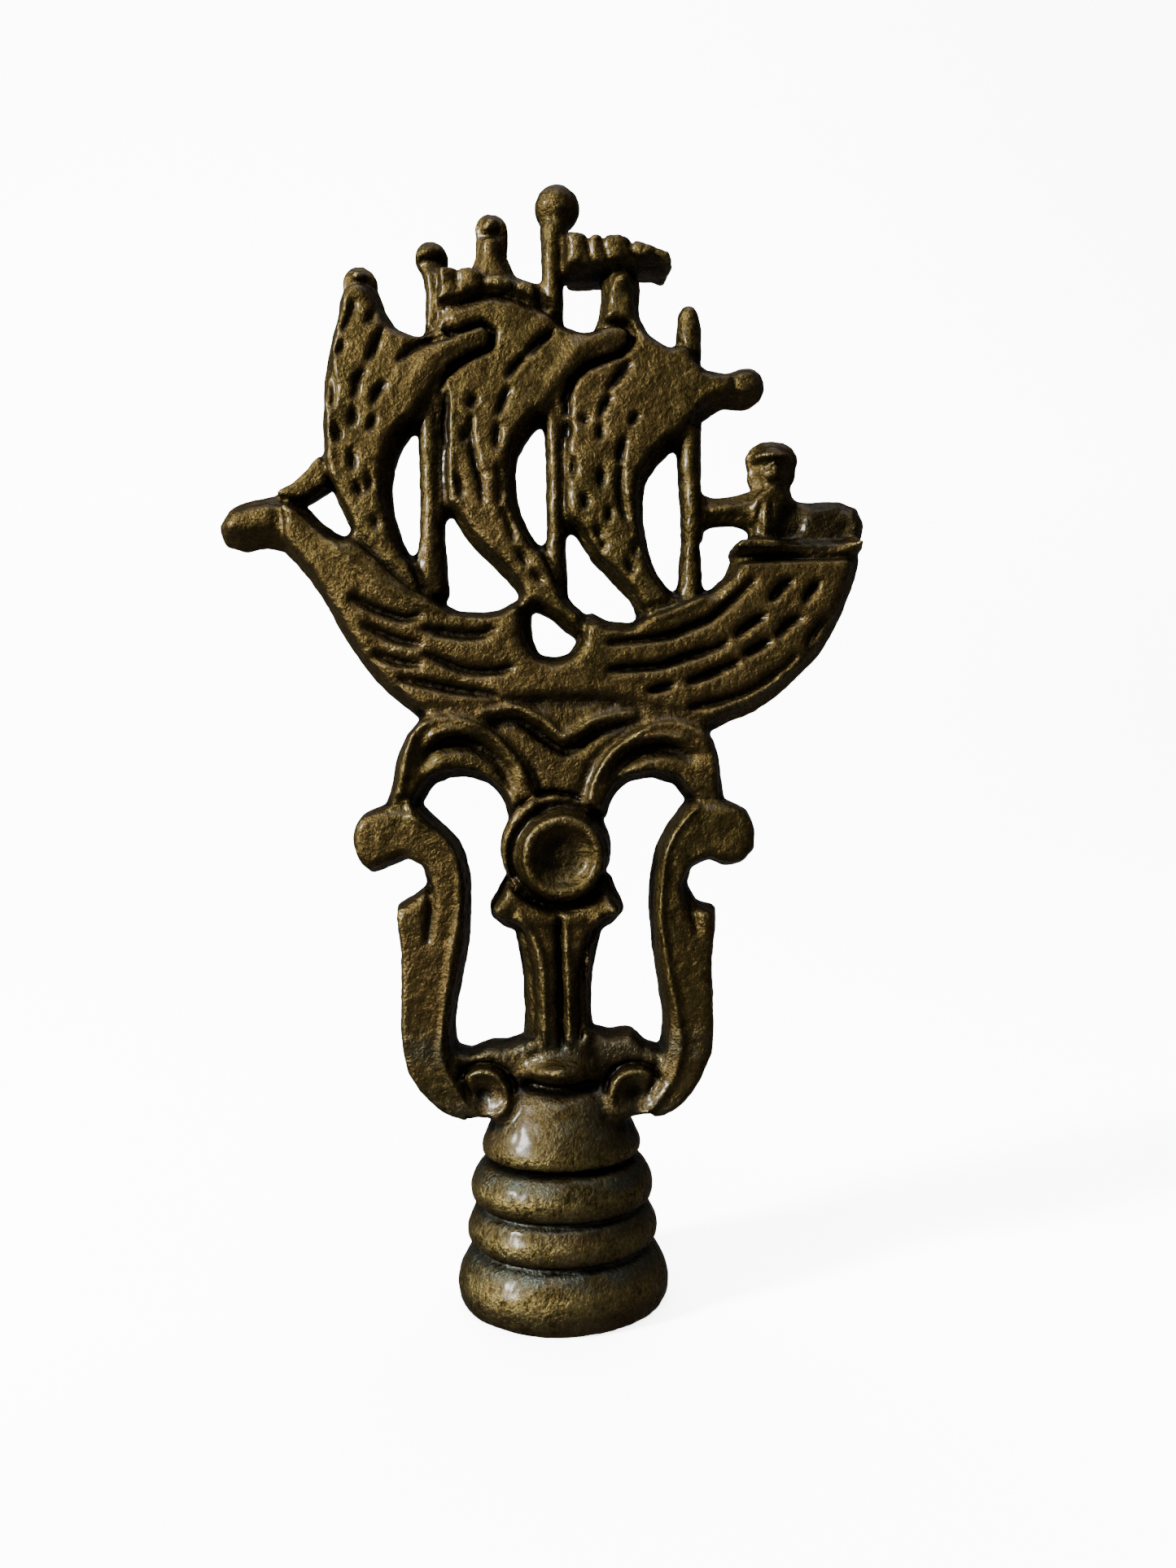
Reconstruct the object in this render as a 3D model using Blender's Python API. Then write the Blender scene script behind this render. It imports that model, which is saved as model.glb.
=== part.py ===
"""A cast brass lamp finial in the form of a sailing ship on a lyre bracket.

The ship and its bracket are a relief that is the same on both faces, so each
member is a plate or a spindle that is symmetric about the plane y = 0. The
outlines are in millimetres as (x, z), with the origin at the middle of the
socket's mouth, +Z up the finial and its front towards -Y. A third value of
CORNER on a point keeps it sharp; every other point lies on a smooth curve.
"""

import math

import bmesh
import bpy
from mathutils import Matrix, Vector

# Driving dimensions, in millimetres.
MM = 0.001
CORNER = True
GAP = 0.05  # room kept between neighbouring members
STEP = 0.95  # length of the chords along a smooth outline
DRAFT = 0.15  # how much a side narrows for each millimetre away from y = 0
CHAMFER = 0.3  # edge broken between a plate's side and its face
INSET_SHARE = 0.27  # most of a thin place's width that draft and chamfer may take from one side
SIDES = 24  # facets round the base and the neck
SPAR_SIDES = 14  # facets round a mast or a ball

HULL_HALF = 2.2
RAIL_HALF = 2.6
CASTLE_HALF = 2.0
SAIL_HALF = 1.8
POST_HALF = 1.05
PENNANT_HALF = 2.2
STAY_HALF = 1.2
ARM_HALF = 2.5
ARCH_HALF = 2.3
WEB_HALF = 1.9
STEM_HALF = 2.4
COLLAR_HALF = 2.6
MAST_DEPTH = 1.3
FIGURE_HALF = 1.4
REACH_HALF = 0.95  # the helmsman's arm

SOCKET_TOP = 8.6
BORE_RADIUS = 2.67  # tapping size of a 1/4-27 thread
BORE_TOP = 9.9
DRILL_TIP_RADIUS = 0.3
DRILL_TIP_RISE = 1.4
MOUTH_RADIUS = 3.3
MOUTH_DEPTH = 0.63
CLEARANCE = 0.5  # how far the bore's cutter runs on below the mouth
THREAD_RADIUS = 3.1
THREAD_PITCH = 25.4 / 27
THREAD_TURNS = 8
THREAD_STEPS = 16  # facets in one turn of the thread
THREAD_START = 0.4
THREAD_OVERLAP = 0.15  # how far the thread's V starts inside the wall of the bore
THREAD_HALF_SHARE = 0.44  # half the V's width, as a share of the pitch

BOSS_CENTRE = (-0.05, 27.4)
CUP_CENTRE = (0.45, 27.0)
LEFT_VOLUTE = (-4.5, 12.8, 1.7)
RIGHT_VOLUTE = (4.5, 12.75, 1.65)

# Balls as (x, z, radius), and how much they are stretched.
FOOT_KNOB = (0.1, 14.15, 0.75)
FOOT_KNOB_DEPTH = 3.7
FOOT_KNOB_WIDTH = 2.7
FORE_SAIL_BALL = (-11.5, 62.15, 1.05)
MAIN_SAIL_BALL = (-3.4, 65.3, 1.0)
MAIN_YARD_BALL = (4.4, 58.15, 0.9)
MIZZEN_YARD_BALL = (12.03, 55.42, 1.2)
FORE_MAST_BALL = (-7.1, 63.6, 1.02)
MAIN_MAST_BALL = (0.65, 66.6, 1.4)
SAIL_BALL_DEPTH = 1.2
MAIN_YARD_DEPTH = 2.1
MIZZEN_YARD_DEPTH = 1.55
HEAD = (13.53, 50.15, 1.5)
CAP = (13.53, 50.88, 1.22)
CAP_DEPTH = 1.4
CAP_WIDTH = 1.34

# Outlines of the bracket.
LEFT_ARM = [
    (-4.9, 11.05, CORNER), (-5.6, 11.0), (-6.4, 11.2), (-7.4, 11.75), (-8.7, 13.1), (-9.5, 15.0),
    (-9.65, 17.5), (-9.55, 21.0), (-9.75, 22.8), (-9.85, 24.1, CORNER), (-8.8, 24.7),
    (-7.95, 25.35), (-8.2, 26.4), (-9.1, 26.9), (-10.2, 26.5), (-11.3, 26.0), (-12.1, 26.9),
    (-12.4, 28.2), (-11.9, 29.65), (-10.5, 30.2, CORNER), (-8.1, 30.2, CORNER), (-7.4, 29.4),
    (-5.9, 27.9), (-5.35, 26.0), (-5.3, 24.0), (-5.4, 21.8), (-5.95, 19.2), (-6.35, 17.0),
    (-6.25, 15.2), (-6.1, 13.6), (-5.2, 12.6, CORNER),
]
RIGHT_ARM = [
    (4.9, 11.05, CORNER), (5.6, 11.05), (6.35, 11.1), (7.4, 11.68), (8.55, 13.25), (9.3, 15.0),
    (9.45, 17.5), (9.4, 20.5), (9.65, 22.5), (9.7, 23.7, CORNER), (8.5, 24.1), (7.95, 25.1),
    (8.3, 26.2), (9.3, 26.6), (10.3, 26.2), (11.3, 26.3), (12.1, 27.2), (12.2, 28.3),
    (11.6, 29.6), (10.3, 30.2, CORNER), (7.9, 30.2, CORNER), (7.3, 29.4), (6.3, 27.9),
    (5.75, 26.0), (5.6, 24.0), (5.7, 22.0), (6.0, 19.5), (6.3, 17.0), (6.15, 15.2),
    (6.1, 13.5), (5.2, 12.6, CORNER),
]
LEFT_ARCH = [
    (-10.4, 30.28, CORNER), (-10.0, 31.3), (-9.7, 33.0), (-9.1, 34.4), (-8.3, 35.4, CORNER),
    (-6.6, 35.55), (-5.0, 35.45), (-3.7, 34.75), (-2.5, 33.5), (-1.7, 32.2), (-1.3, 30.8),
    (-1.35, 29.4, CORNER), (-2.9, 29.2, CORNER), (-3.1, 30.2), (-4.1, 31.4), (-5.7, 31.85),
    (-7.3, 31.5), (-8.1, 30.28, CORNER),
]
RIGHT_ARCH = [
    (10.25, 30.28, CORNER), (10.1, 32.0), (9.75, 33.8), (9.4, 34.4, CORNER), (8.2, 34.95),
    (7.0, 35.1), (5.4, 34.9), (4.0, 34.0), (2.8, 32.7), (2.1, 31.2), (1.9, 29.4, CORNER),
    (3.15, 29.2, CORNER), (3.4, 30.3), (4.5, 31.35), (5.9, 31.6), (7.2, 31.25),
    (7.9, 30.28, CORNER),
]
PEDIMENT = [
    (-4.9, 35.65, CORNER), (-3.6, 34.85), (-2.4, 33.6), (-1.6, 32.3), (-1.2, 30.8),
    (-1.2, 29.2, CORNER), (1.8, 29.2, CORNER), (2.0, 31.2), (2.7, 32.8), (3.9, 34.1),
    (5.2, 35.0), (6.2, 35.3, CORNER), (3.6, 36.05), (0.6, 36.2), (-2.4, 36.05),
]
COLLAR = [
    (-3.2, 25.8, CORNER), (-3.6, 24.9), (-4.15, 24.1), (-4.05, 23.3), (-3.3, 22.65),
    (-2.65, 22.4, CORNER), (2.7, 22.4, CORNER), (3.35, 22.75), (4.1, 23.4), (4.05, 24.1),
    (3.6, 24.9), (3.3, 25.8, CORNER),
]
STEM = [
    (-2.65, 22.33, CORNER), (-2.4, 21.2), (-2.2, 19.8), (-2.08, 17.5), (-2.2, 16.2),
    (-2.3, 14.9, CORNER), (2.2, 14.9, CORNER), (2.05, 16.2), (1.95, 17.5), (2.1, 19.8),
    (2.35, 21.2), (2.65, 22.33, CORNER),
]
FOOT_WEB = [
    (-6.3, 15.4, CORNER), (-5.5, 15.2), (-4.2, 15.65), (-3.3, 15.6), (-1.5, 16.3), (1.6, 16.6),
    (3.1, 16.2), (4.4, 16.35), (5.3, 15.5), (6.3, 15.1, CORNER), (6.4, 13.6, CORNER),
    (4.5, 12.9, CORNER), (2.4, 12.6, CORNER), (-2.4, 12.6, CORNER), (-4.5, 12.9, CORNER),
    (-6.4, 13.6, CORNER),
]

# Outlines of the ship.
HULL = [
    (-16.25, 48.6, CORNER), (-14.8, 48.4, CORNER), (-14.1, 47.6), (-12.9, 46.75),
    (-11.7, 46.35), (-10.8, 45.6), (-9.6, 44.4), (-8.3, 43.3), (-6.9, 42.65), (-5.8, 42.05),
    (-4.5, 41.9), (-3.3, 42.0), (-2.1, 42.7, CORNER), (-1.35, 41.5, CORNER), (-1.3, 40.2),
    (-0.8, 39.3), (0.1, 39.1), (0.9, 39.3), (1.45, 40.05, CORNER), (2.3, 41.8, CORNER),
    (3.4, 41.2), (4.6, 41.1), (6.2, 41.6), (8.0, 42.3), (9.55, 43.05), (10.5, 43.8),
    (10.95, 44.9, CORNER), (18.85, 44.9, CORNER), (18.53, 43.7), (17.5, 41.03), (16.2, 38.95),
    (14.6, 37.3), (12.4, 35.7), (10.3, 34.75), (9.7, 34.4, CORNER), (8.4, 35.05), (6.6, 35.4),
    (3.6, 36.15), (0.6, 36.3), (-2.4, 36.15), (-5.0, 35.75), (-8.4, 35.55, CORNER),
    (-10.0, 36.9), (-11.7, 38.8), (-13.3, 41.4), (-14.8, 44.0), (-16.25, 45.65, CORNER),
]
PROW_KNOB = [
    (-16.33, 48.75, CORNER), (-16.9, 49.2, CORNER), (-18.3, 48.98), (-19.65, 48.45),
    (-20.42, 47.35), (-20.0, 46.25), (-18.8, 45.85), (-17.5, 46.1), (-16.33, 45.75, CORNER),
]
FORESTAY = [
    (-13.6, 52.05, CORNER), (-14.75, 50.85), (-15.75, 49.9), (-16.85, 49.28, CORNER),
    (-16.2, 48.8, CORNER), (-14.85, 48.75, CORNER), (-13.3, 49.75, CORNER),
]
STERN_RAIL = [
    (10.8, 45.1, CORNER), (11.1, 44.98, CORNER), (18.85, 44.98, CORNER), (18.85, 45.4),
    (18.9, 45.9, CORNER), (11.4, 45.9, CORNER), (10.9, 45.5),
]
STERN_CASTLE = [
    (14.95, 45.98, CORNER), (15.05, 48.4, CORNER), (15.9, 48.3), (17.6, 48.3), (18.7, 47.9),
    (19.15, 46.9), (19.0, 45.98, CORNER),
]
TORSO = [
    (12.1, 45.98, CORNER), (12.0, 47.6), (12.2, 49.0), (13.4, 49.4), (14.75, 48.95),
    (14.88, 47.4), (14.85, 45.98, CORNER),
]
ARM_REACHING = [
    (12.6, 49.1, CORNER), (11.2, 48.75), (10.0, 48.65), (9.4, 48.9, CORNER),
    (9.4, 46.7, CORNER), (10.0, 46.95), (11.2, 46.95), (12.6, 46.5, CORNER),
]
FORE_SAIL = [
    (-12.45, 61.7), (-12.8, 60.2), (-13.4, 58.1), (-13.8, 55.3), (-13.85, 52.2),
    (-13.4, 49.8), (-12.8, 48.2), (-12.1, 46.7), (-11.3, 46.25), (-10.5, 45.4), (-9.3, 44.25),
    (-7.9, 43.2, CORNER), (-8.6, 45.2), (-9.3, 47.0), (-9.75, 49.0), (-9.5, 51.0),
    (-8.9, 52.3), (-7.9, 53.6), (-6.0, 56.2), (-4.6, 57.1), (-3.4, 57.6), (-3.2, 58.5),
    (-3.9, 59.1), (-5.3, 58.6), (-6.4, 58.7), (-8.1, 58.85), (-9.3, 59.35), (-10.0, 60.5),
    (-10.4, 61.7),
]
MAIN_SAIL = [
    (-0.6, 60.05, CORNER), (-2.2, 60.7), (-4.0, 60.75), (-5.2, 60.3), (-6.2, 60.05, CORNER),
    (-6.3, 57.0), (-6.35, 52.5), (-6.3, 48.3), (-5.7, 47.2),
    (-4.8, 45.9), (-3.2, 44.3), (-2.25, 43.2), (-2.0, 42.75, CORNER), (-1.3, 42.0, CORNER),
    (-0.3, 41.5), (1.35, 40.15, CORNER), (2.2, 41.5, CORNER), (1.4, 42.2), (0.4, 43.6),
    (-0.5, 45.6), (-1.45, 46.9), (-2.15, 49.2), (-1.95, 51.4), (-1.0, 52.9), (0.6, 54.5),
    (2.4, 56.4), (4.4, 57.1), (5.2, 58.0), (4.3, 59.0), (2.8, 58.85), (1.2, 59.15),
    (0.5, 59.7),
]
MAIN_SAIL_POST = [
    (-4.3, 65.0), (-4.4, 63.6), (-4.9, 62.4), (-5.5, 61.4), (-5.6, 59.2, CORNER),
    (-0.5, 59.2, CORNER), (-0.45, 61.7), (-1.9, 62.4), (-2.45, 63.6), (-2.45, 65.0),
]
MIZZEN_SAIL = [
    (0.93, 55.6, CORNER), (0.9, 51.0), (0.9, 47.2), (1.6, 46.3), (2.4, 45.0), (3.55, 43.7),
    (4.7, 42.45), (5.2, 41.4, CORNER), (6.6, 41.8), (7.9, 42.35, CORNER), (6.8, 43.5),
    (6.0, 45.15), (5.65, 47.4), (5.75, 49.6), (6.5, 50.7), (7.7, 51.9), (9.4, 53.5),
    (10.6, 54.15), (12.25, 54.1), (13.1, 55.05), (12.1, 56.4), (10.6, 56.25), (9.4, 56.6),
    (8.4, 57.7), (7.3, 57.95), (6.25, 58.65), (5.65, 59.7), (5.65, 61.4), (5.6, 62.2, CORNER),
    (3.25, 62.2, CORNER), (3.2, 60.2), (2.6, 58.6), (1.2, 57.0),
]
FORE_PENNANT = [
    (-6.65, 62.6, CORNER), (-4.6, 62.45, CORNER), (-3.0, 61.9), (-1.6, 61.6),
    (-0.6, 61.4, CORNER), (-0.6, 60.2, CORNER), (-2.3, 60.8), (-4.1, 60.85), (-5.3, 60.4),
    (-6.75, 60.1, CORNER),
]
MAIN_PENNANT = [
    (0.95, 64.6, CORNER), (3.0, 64.4), (4.8, 64.2), (6.4, 63.55), (7.75, 63.05, CORNER),
    (7.65, 62.8), (7.2, 62.35, CORNER), (6.4, 62.65), (4.6, 62.5), (2.6, 62.1),
    (0.95, 62.15, CORNER),
]

# The boss, its dish and the castle's blind window as (radius, y), turned about y.
BOSS_BODY = [(2.8, -2.7), (3.25, -2.1), (3.38, 0.0), (3.25, 2.1), (2.8, 2.7)]
BOSS_RIM = [(2.35, -3.4), (2.5, -3.1), (2.6, 0.0), (2.5, 3.1), (2.35, 3.4)]
BOSS_DISH = [(2.1, -3.6), (1.9, -3.3), (1.5, -2.8), (0.6, -2.5)]
WINDOW_PLACE = (15.9, 47.0)
CASTLE_WINDOW = [(0.85, -CASTLE_HALF - 0.4), (0.75, -CASTLE_HALF + 0.9)]

# A volute's drum as (share of its radius, y), and the eye in it as (radius, y).
VOLUTE_DRUM = [(0.8, -2.5), (1.0, -2.1), (1.0, 2.1), (0.8, 2.5)]
VOLUTE_EYE = [(0.45, -2.9), (0.75, -2.7), (0.8, 2.7), (0.45, 2.9)]

# Turned outlines as (radius, height), and masts as (z, x, half width, half depth).
SOCKET_PROFILE = [
    (6.0, 0.0), (6.3, 0.45), (6.4, 1.2), (6.25, 2.0), (5.9, 2.7), (5.55, 3.2), (5.55, 3.6),
    (5.75, 4.1), (5.75, 4.7), (5.4, 5.4), (5.3, 5.9), (5.5, 6.5), (5.55, 7.1), (5.3, 7.8),
    (4.9, 8.35), (4.6, SOCKET_TOP),
]
NECK_PROFILE = [
    (4.5, 8.7), (4.8, 8.9), (4.8, 9.6), (4.4, 10.5), (3.95, 11.4), (3.4, 12.4), (2.7, 13.35),
]
FORE_MAST = [
    (42.75, -7.45, 1.15, 1.2), (45.0, -7.4, 0.95, MAST_DEPTH), (46.6, -7.3, 0.74, MAST_DEPTH),
    (54.0, -7.3, 0.74, MAST_DEPTH), (60.0, -7.0, 0.48, 1.1), (61.5, -6.95, 0.5, 1.1),
    (62.6, -7.05, 0.6, 1.1),
]
MAIN_MAST = [
    (42.6, 0.2, 0.8, 1.2), (45.0, 0.22, 0.65, MAST_DEPTH), (47.0, 0.3, 0.56, MAST_DEPTH),
    (51.0, 0.3, 0.56, MAST_DEPTH), (54.0, 0.25, 0.72, MAST_DEPTH),
    (58.0, 0.25, 0.66, MAST_DEPTH), (64.0, 0.3, 0.66, 1.2), (65.4, 0.45, 0.88, 1.2),
]
MIZZEN_MAST = [
    (46.05, 8.6, 0.7, 1.2), (48.0, 8.58, 0.66, MAST_DEPTH), (50.5, 8.5, 0.72, MAST_DEPTH),
    (53.0, 8.5, 0.78, MAST_DEPTH), (57.0, 8.6, 0.7, MAST_DEPTH), (58.8, 8.62, 0.77, 1.2),
    (59.9, 8.6, 0.6, 1.0), (60.3, 8.6, 0.35, 0.7),
]
MIZZEN_STUB = [(42.5, 8.4, 0.95, 1.4), (43.6, 8.45, 0.72, 1.25), (45.9, 8.5, 0.6, 1.2)]

def curve(points):
    """A closed Catmull-Rom curve through the points, as chords of about STEP."""
    places = [Vector(point[:2]) for point in points]
    sharp = [len(point) > 2 for point in points]
    count = len(points)
    found = []
    for i in range(count):
        start, end = places[i], places[(i + 1) % count]
        before = 2 * start - end if sharp[i] else places[i - 1]
        after = 2 * end - start if sharp[(i + 1) % count] else places[(i + 2) % count]
        chords = max(1, round((end - start).length / STEP))
        reach = (end - start).length
        leave = (end - before).normalized() * reach
        arrive = (after - start).normalized() * reach
        for k in range(chords):
            t = k / chords
            found.append(
                start * (2 * t**3 - 3 * t**2 + 1)
                + leave * (t**3 - 2 * t**2 + t)
                + end * (3 * t**2 - 2 * t**3)
                + arrive * (t**3 - t**2)
            )
    area = sum(a.cross(b) for a, b in zip(found, found[1:] + found[:1]))
    return found if area > 0 else found[::-1]


def inward(loop, i):
    """The direction into the anticlockwise loop at a point, and the mitre there."""
    first = (loop[i] - loop[i - 1]).normalized()
    second = (loop[(i + 1) % len(loop)] - loop[i]).normalized()
    inner = Vector((-first.y - second.y, first.x + second.x))
    return inner.normalized(), min(2.0 / max(inner.length, 0.5), 1.3)


def room_inside(loop, i):
    """The distance from a point of the loop to its far side, straight inwards."""
    start, (heading, _) = loop[i], inward(loop, i)
    nearest = math.inf
    for k in range(len(loop)):
        if k in (i, (i - 1) % len(loop)):
            continue
        low, side = loop[k], loop[(k + 1) % len(loop)] - loop[k]
        facing = heading.cross(side)
        if abs(facing) < 1e-9:
            continue
        away = (low - start).cross(side) / facing
        along = (low - start).cross(heading) / facing
        if away > 1e-6 and 0.0 <= along <= 1.0:
            nearest = min(nearest, away)
    return nearest


def most_inset(loop):
    """How far each point may move inwards before thin places close up."""
    rooms = [INSET_SHARE * room_inside(loop, i) for i in range(len(loop))]
    count = len(loop)
    return [min(rooms[(i + k) % count] for k in range(-3, 4)) for i in range(count)]


def offset(loop, inwards, most):
    """The anticlockwise loop moved inwards by a distance, each corner along its mitre."""
    moved = []
    for i, point in enumerate(loop):
        heading, mitre = inward(loop, i)
        moved.append(point + heading * min(inwards * mitre, most[i]))
    return moved


def close_rings(bm, rings):
    """Joins rings of vertices into sides and fills the first and the last."""
    for low, high in zip(rings, rings[1:]):
        for i in range(len(low)):
            bm.faces.new((low[i - 1], low[i], high[i], high[i - 1]))
    for ring in (rings[0], rings[-1]):
        edges = [bm.edges.get((ring[i - 1], ring[i])) for i in range(len(ring))]
        bmesh.ops.triangle_fill(bm, edges=edges, use_beauty=True)
    bmesh.ops.recalc_face_normals(bm, faces=bm.faces)
    return bm


def plate(outline, half, grow):
    """A drafted plate with broken edges, from y = -half to y = half."""
    loop = curve(outline)
    loop = offset(loop, -grow, [math.inf] * len(loop))
    most = most_inset(loop)
    bm = bmesh.new()
    rings = []
    side = half - CHAMFER
    for y, inset in (
        (-half - grow, DRAFT * half + CHAMFER),
        (-side - grow, DRAFT * side),
        (0.0, 0.0),
        (side + grow, DRAFT * side),
        (half + grow, DRAFT * half + CHAMFER),
    ):
        rings.append([bm.verts.new((p.x, y, p.y)) for p in offset(loop, inset, most)])
    return close_rings(bm, rings)


def spindle(stations, grow):
    """A mast: oval sections (z, x, half width, half depth), one above the other."""
    bm = bmesh.new()
    rings = []
    for i, (z, x, width, depth) in enumerate(stations):
        end = (i == len(stations) - 1) - (i == 0)
        ring = []
        for k in range(SPAR_SIDES):
            turn = math.tau * k / SPAR_SIDES
            across = x + (width + grow) * math.cos(turn)
            ring.append(bm.verts.new((across, (depth + grow) * math.sin(turn), z + end * grow)))
        rings.append(ring)
    return close_rings(bm, rings)


def ball(x, z, radius, grow, depth=1.0, width=1.0):
    """A ball on the plane y = 0, stretched in depth and in width."""
    bm = bmesh.new()
    size = Vector((radius * width + grow, radius * depth + grow, radius + grow, 1.0))
    place = Matrix.Translation((x, 0, z)) @ Matrix.Diagonal(size)
    bmesh.ops.create_uvsphere(
        bm, u_segments=SPAR_SIDES, v_segments=SPAR_SIDES // 2, radius=1.0, matrix=place
    )
    return bm


def turned(profile, grow, centre=(0.0, 0.0), along_y=False, sides=SIDES):
    """A solid turned from (radius, height) points, about Z or about a line along Y."""
    bm = bmesh.new()
    rings = []
    for i, (radius, height) in enumerate(profile):
        end = (i == len(profile) - 1) - (i == 0)
        ring = []
        for k in range(sides):
            turn = math.tau * k / sides
            u, v = (radius + grow) * math.cos(turn), (radius + grow) * math.sin(turn)
            level = height + end * grow
            place = (centre[0] + u, level, centre[1] + v) if along_y else (u, v, level)
            ring.append(bm.verts.new(place))
        rings.append(ring)
    return close_rings(bm, rings)


def thread_cutter():
    """The tapped thread: a V that climbs round the bore."""
    bm = bmesh.new()
    inner, half_width = BORE_RADIUS - THREAD_OVERLAP, THREAD_PITCH * THREAD_HALF_SHARE
    sections = []
    for k in range(THREAD_TURNS * THREAD_STEPS + 1):
        turn = math.tau * k / THREAD_STEPS
        z = THREAD_START + THREAD_PITCH * k / THREAD_STEPS
        section = []
        for radius, level in ((inner, -half_width), (THREAD_RADIUS, 0.0), (inner, half_width)):
            place = (radius * math.cos(turn), radius * math.sin(turn), z + level)
            section.append(bm.verts.new(place))
        sections.append(section)
    return close_rings(bm, sections)


def bore_cutter():
    """The tapping bore with its countersunk mouth, closed by the cone of the drill."""
    profile = [
        (MOUTH_RADIUS + CLEARANCE, -CLEARANCE),
        (MOUTH_RADIUS, 0.0),
        (BORE_RADIUS, MOUTH_DEPTH),
        (BORE_RADIUS, BORE_TOP),
        (DRILL_TIP_RADIUS, BORE_TOP + DRILL_TIP_RISE),
    ]
    return turned(profile, 0.0)


def recess(profile, centre, sides):
    """A cutter for a hollow in the front face and one for the same in the back."""
    back = [(radius, -y) for radius, y in reversed(profile)]
    return [turned(half, 0.0, centre, True, sides) for half in (profile, back)]


def cup(grow):
    """The boss: a round body through the bracket with a raised rim on each face."""
    return [
        turned(BOSS_BODY, grow, BOSS_CENTRE, along_y=True),
        turned(BOSS_RIM, grow, CUP_CENTRE, along_y=True),
    ]


def volute(x, z, radius, grow):
    """A scroll's rolled end: a drum with domed faces."""
    drum = [(share * radius, y) for share, y in VOLUTE_DRUM]
    return [turned(p, grow, (x, z), True, SPAR_SIDES) for p in (drum, VOLUTE_EYE)]


def neck(grow):
    return [turned(NECK_PROFILE, grow)]


def socket(grow):
    return [turned(SOCKET_PROFILE, grow)]


def left_volute(grow):
    return volute(*LEFT_VOLUTE, grow)


def right_volute(grow):
    return volute(*RIGHT_VOLUTE, grow)


def foot_knob(grow):
    return [ball(*FOOT_KNOB, grow, FOOT_KNOB_DEPTH, FOOT_KNOB_WIDTH)]


def left_arm(grow):
    return [plate(LEFT_ARM, ARM_HALF, grow)]


def right_arm(grow):
    return [plate(RIGHT_ARM, ARM_HALF, grow)]


def left_arch(grow):
    return [plate(LEFT_ARCH, ARCH_HALF, grow)]


def right_arch(grow):
    return [plate(RIGHT_ARCH, ARCH_HALF, grow)]


def pediment(grow):
    return [plate(PEDIMENT, WEB_HALF, grow)]


def collar(grow):
    return [plate(COLLAR, COLLAR_HALF, grow)]


def stem(grow):
    return [plate(STEM, STEM_HALF, grow)]


def foot_web(grow):
    return [plate(FOOT_WEB, WEB_HALF, grow)]


def hull(grow):
    return [plate(HULL, HULL_HALF, grow)]


def prow_knob(grow):
    return [plate(PROW_KNOB, SAIL_HALF, grow)]


def forestay(grow):
    return [plate(FORESTAY, STAY_HALF, grow)]


def stern_rail(grow):
    return [plate(STERN_RAIL, RAIL_HALF, grow)]


def stern_castle(grow):
    return [plate(STERN_CASTLE, CASTLE_HALF, grow)]


def helmsman(grow):
    """A figure at the helm, one arm out to the mast, with a round cap on the head."""
    return [
        plate(TORSO, FIGURE_HALF, grow),
        plate(ARM_REACHING, REACH_HALF, grow),
        ball(*HEAD, grow),
        ball(*CAP, grow, CAP_DEPTH, CAP_WIDTH),
    ]


def fore_mast(grow):
    return [spindle(FORE_MAST, grow), ball(*FORE_MAST_BALL, grow, SAIL_BALL_DEPTH)]


def main_mast(grow):
    return [spindle(MAIN_MAST, grow), ball(*MAIN_MAST_BALL, grow)]


def mizzen_mast(grow):
    return [spindle(MIZZEN_MAST, grow)]


def mizzen_stub(grow):
    return [spindle(MIZZEN_STUB, grow)]


def fore_sail(grow):
    return [plate(FORE_SAIL, SAIL_HALF, grow), ball(*FORE_SAIL_BALL, grow, SAIL_BALL_DEPTH)]


def main_sail(grow):
    return [
        plate(MAIN_SAIL, SAIL_HALF, grow),
        plate(MAIN_SAIL_POST, POST_HALF, grow),
        ball(*MAIN_SAIL_BALL, grow, SAIL_BALL_DEPTH),
        ball(*MAIN_YARD_BALL, grow, MAIN_YARD_DEPTH),
    ]


def mizzen_sail(grow):
    return [
        plate(MIZZEN_SAIL, SAIL_HALF, grow),
        ball(*MIZZEN_YARD_BALL, grow, MIZZEN_YARD_DEPTH),
    ]


def fore_pennant(grow):
    return [plate(FORE_PENNANT, PENNANT_HALF, grow)]


def main_pennant(grow):
    return [plate(MAIN_PENNANT, PENNANT_HALF, grow)]


def brass(name, colour, roughness):
    """Aged brass, as a Principled BSDF."""
    material = bpy.data.materials.new(name)
    material.use_nodes = True
    shader = material.node_tree.nodes["Principled BSDF"]
    shader.inputs["Base Color"].default_value = (*colour, 1.0)
    shader.inputs["Metallic"].default_value = 1.0
    shader.inputs["Roughness"].default_value = roughness
    return material


def solid(name, bm):
    """An object of the mesh, brought from millimetres to metres."""
    mesh = bpy.data.meshes.new(name)
    bmesh.ops.scale(bm, vec=(MM, MM, MM), verts=bm.verts)
    bm.to_mesh(mesh)
    bm.free()
    obj = bpy.data.objects.new(name, mesh)
    bpy.context.scene.collection.objects.link(obj)
    return obj


def helper(name, bm):
    """A solid that only joins or cuts another one."""
    obj = solid(name, bm)
    obj.hide_render = True
    obj.display_type = "WIRE"
    return obj


def combine(obj, other, operation):
    modifier = obj.modifiers.new(f"{operation.lower()} {other.name}", "BOOLEAN")
    modifier.operation = operation
    modifier.object = other


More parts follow.
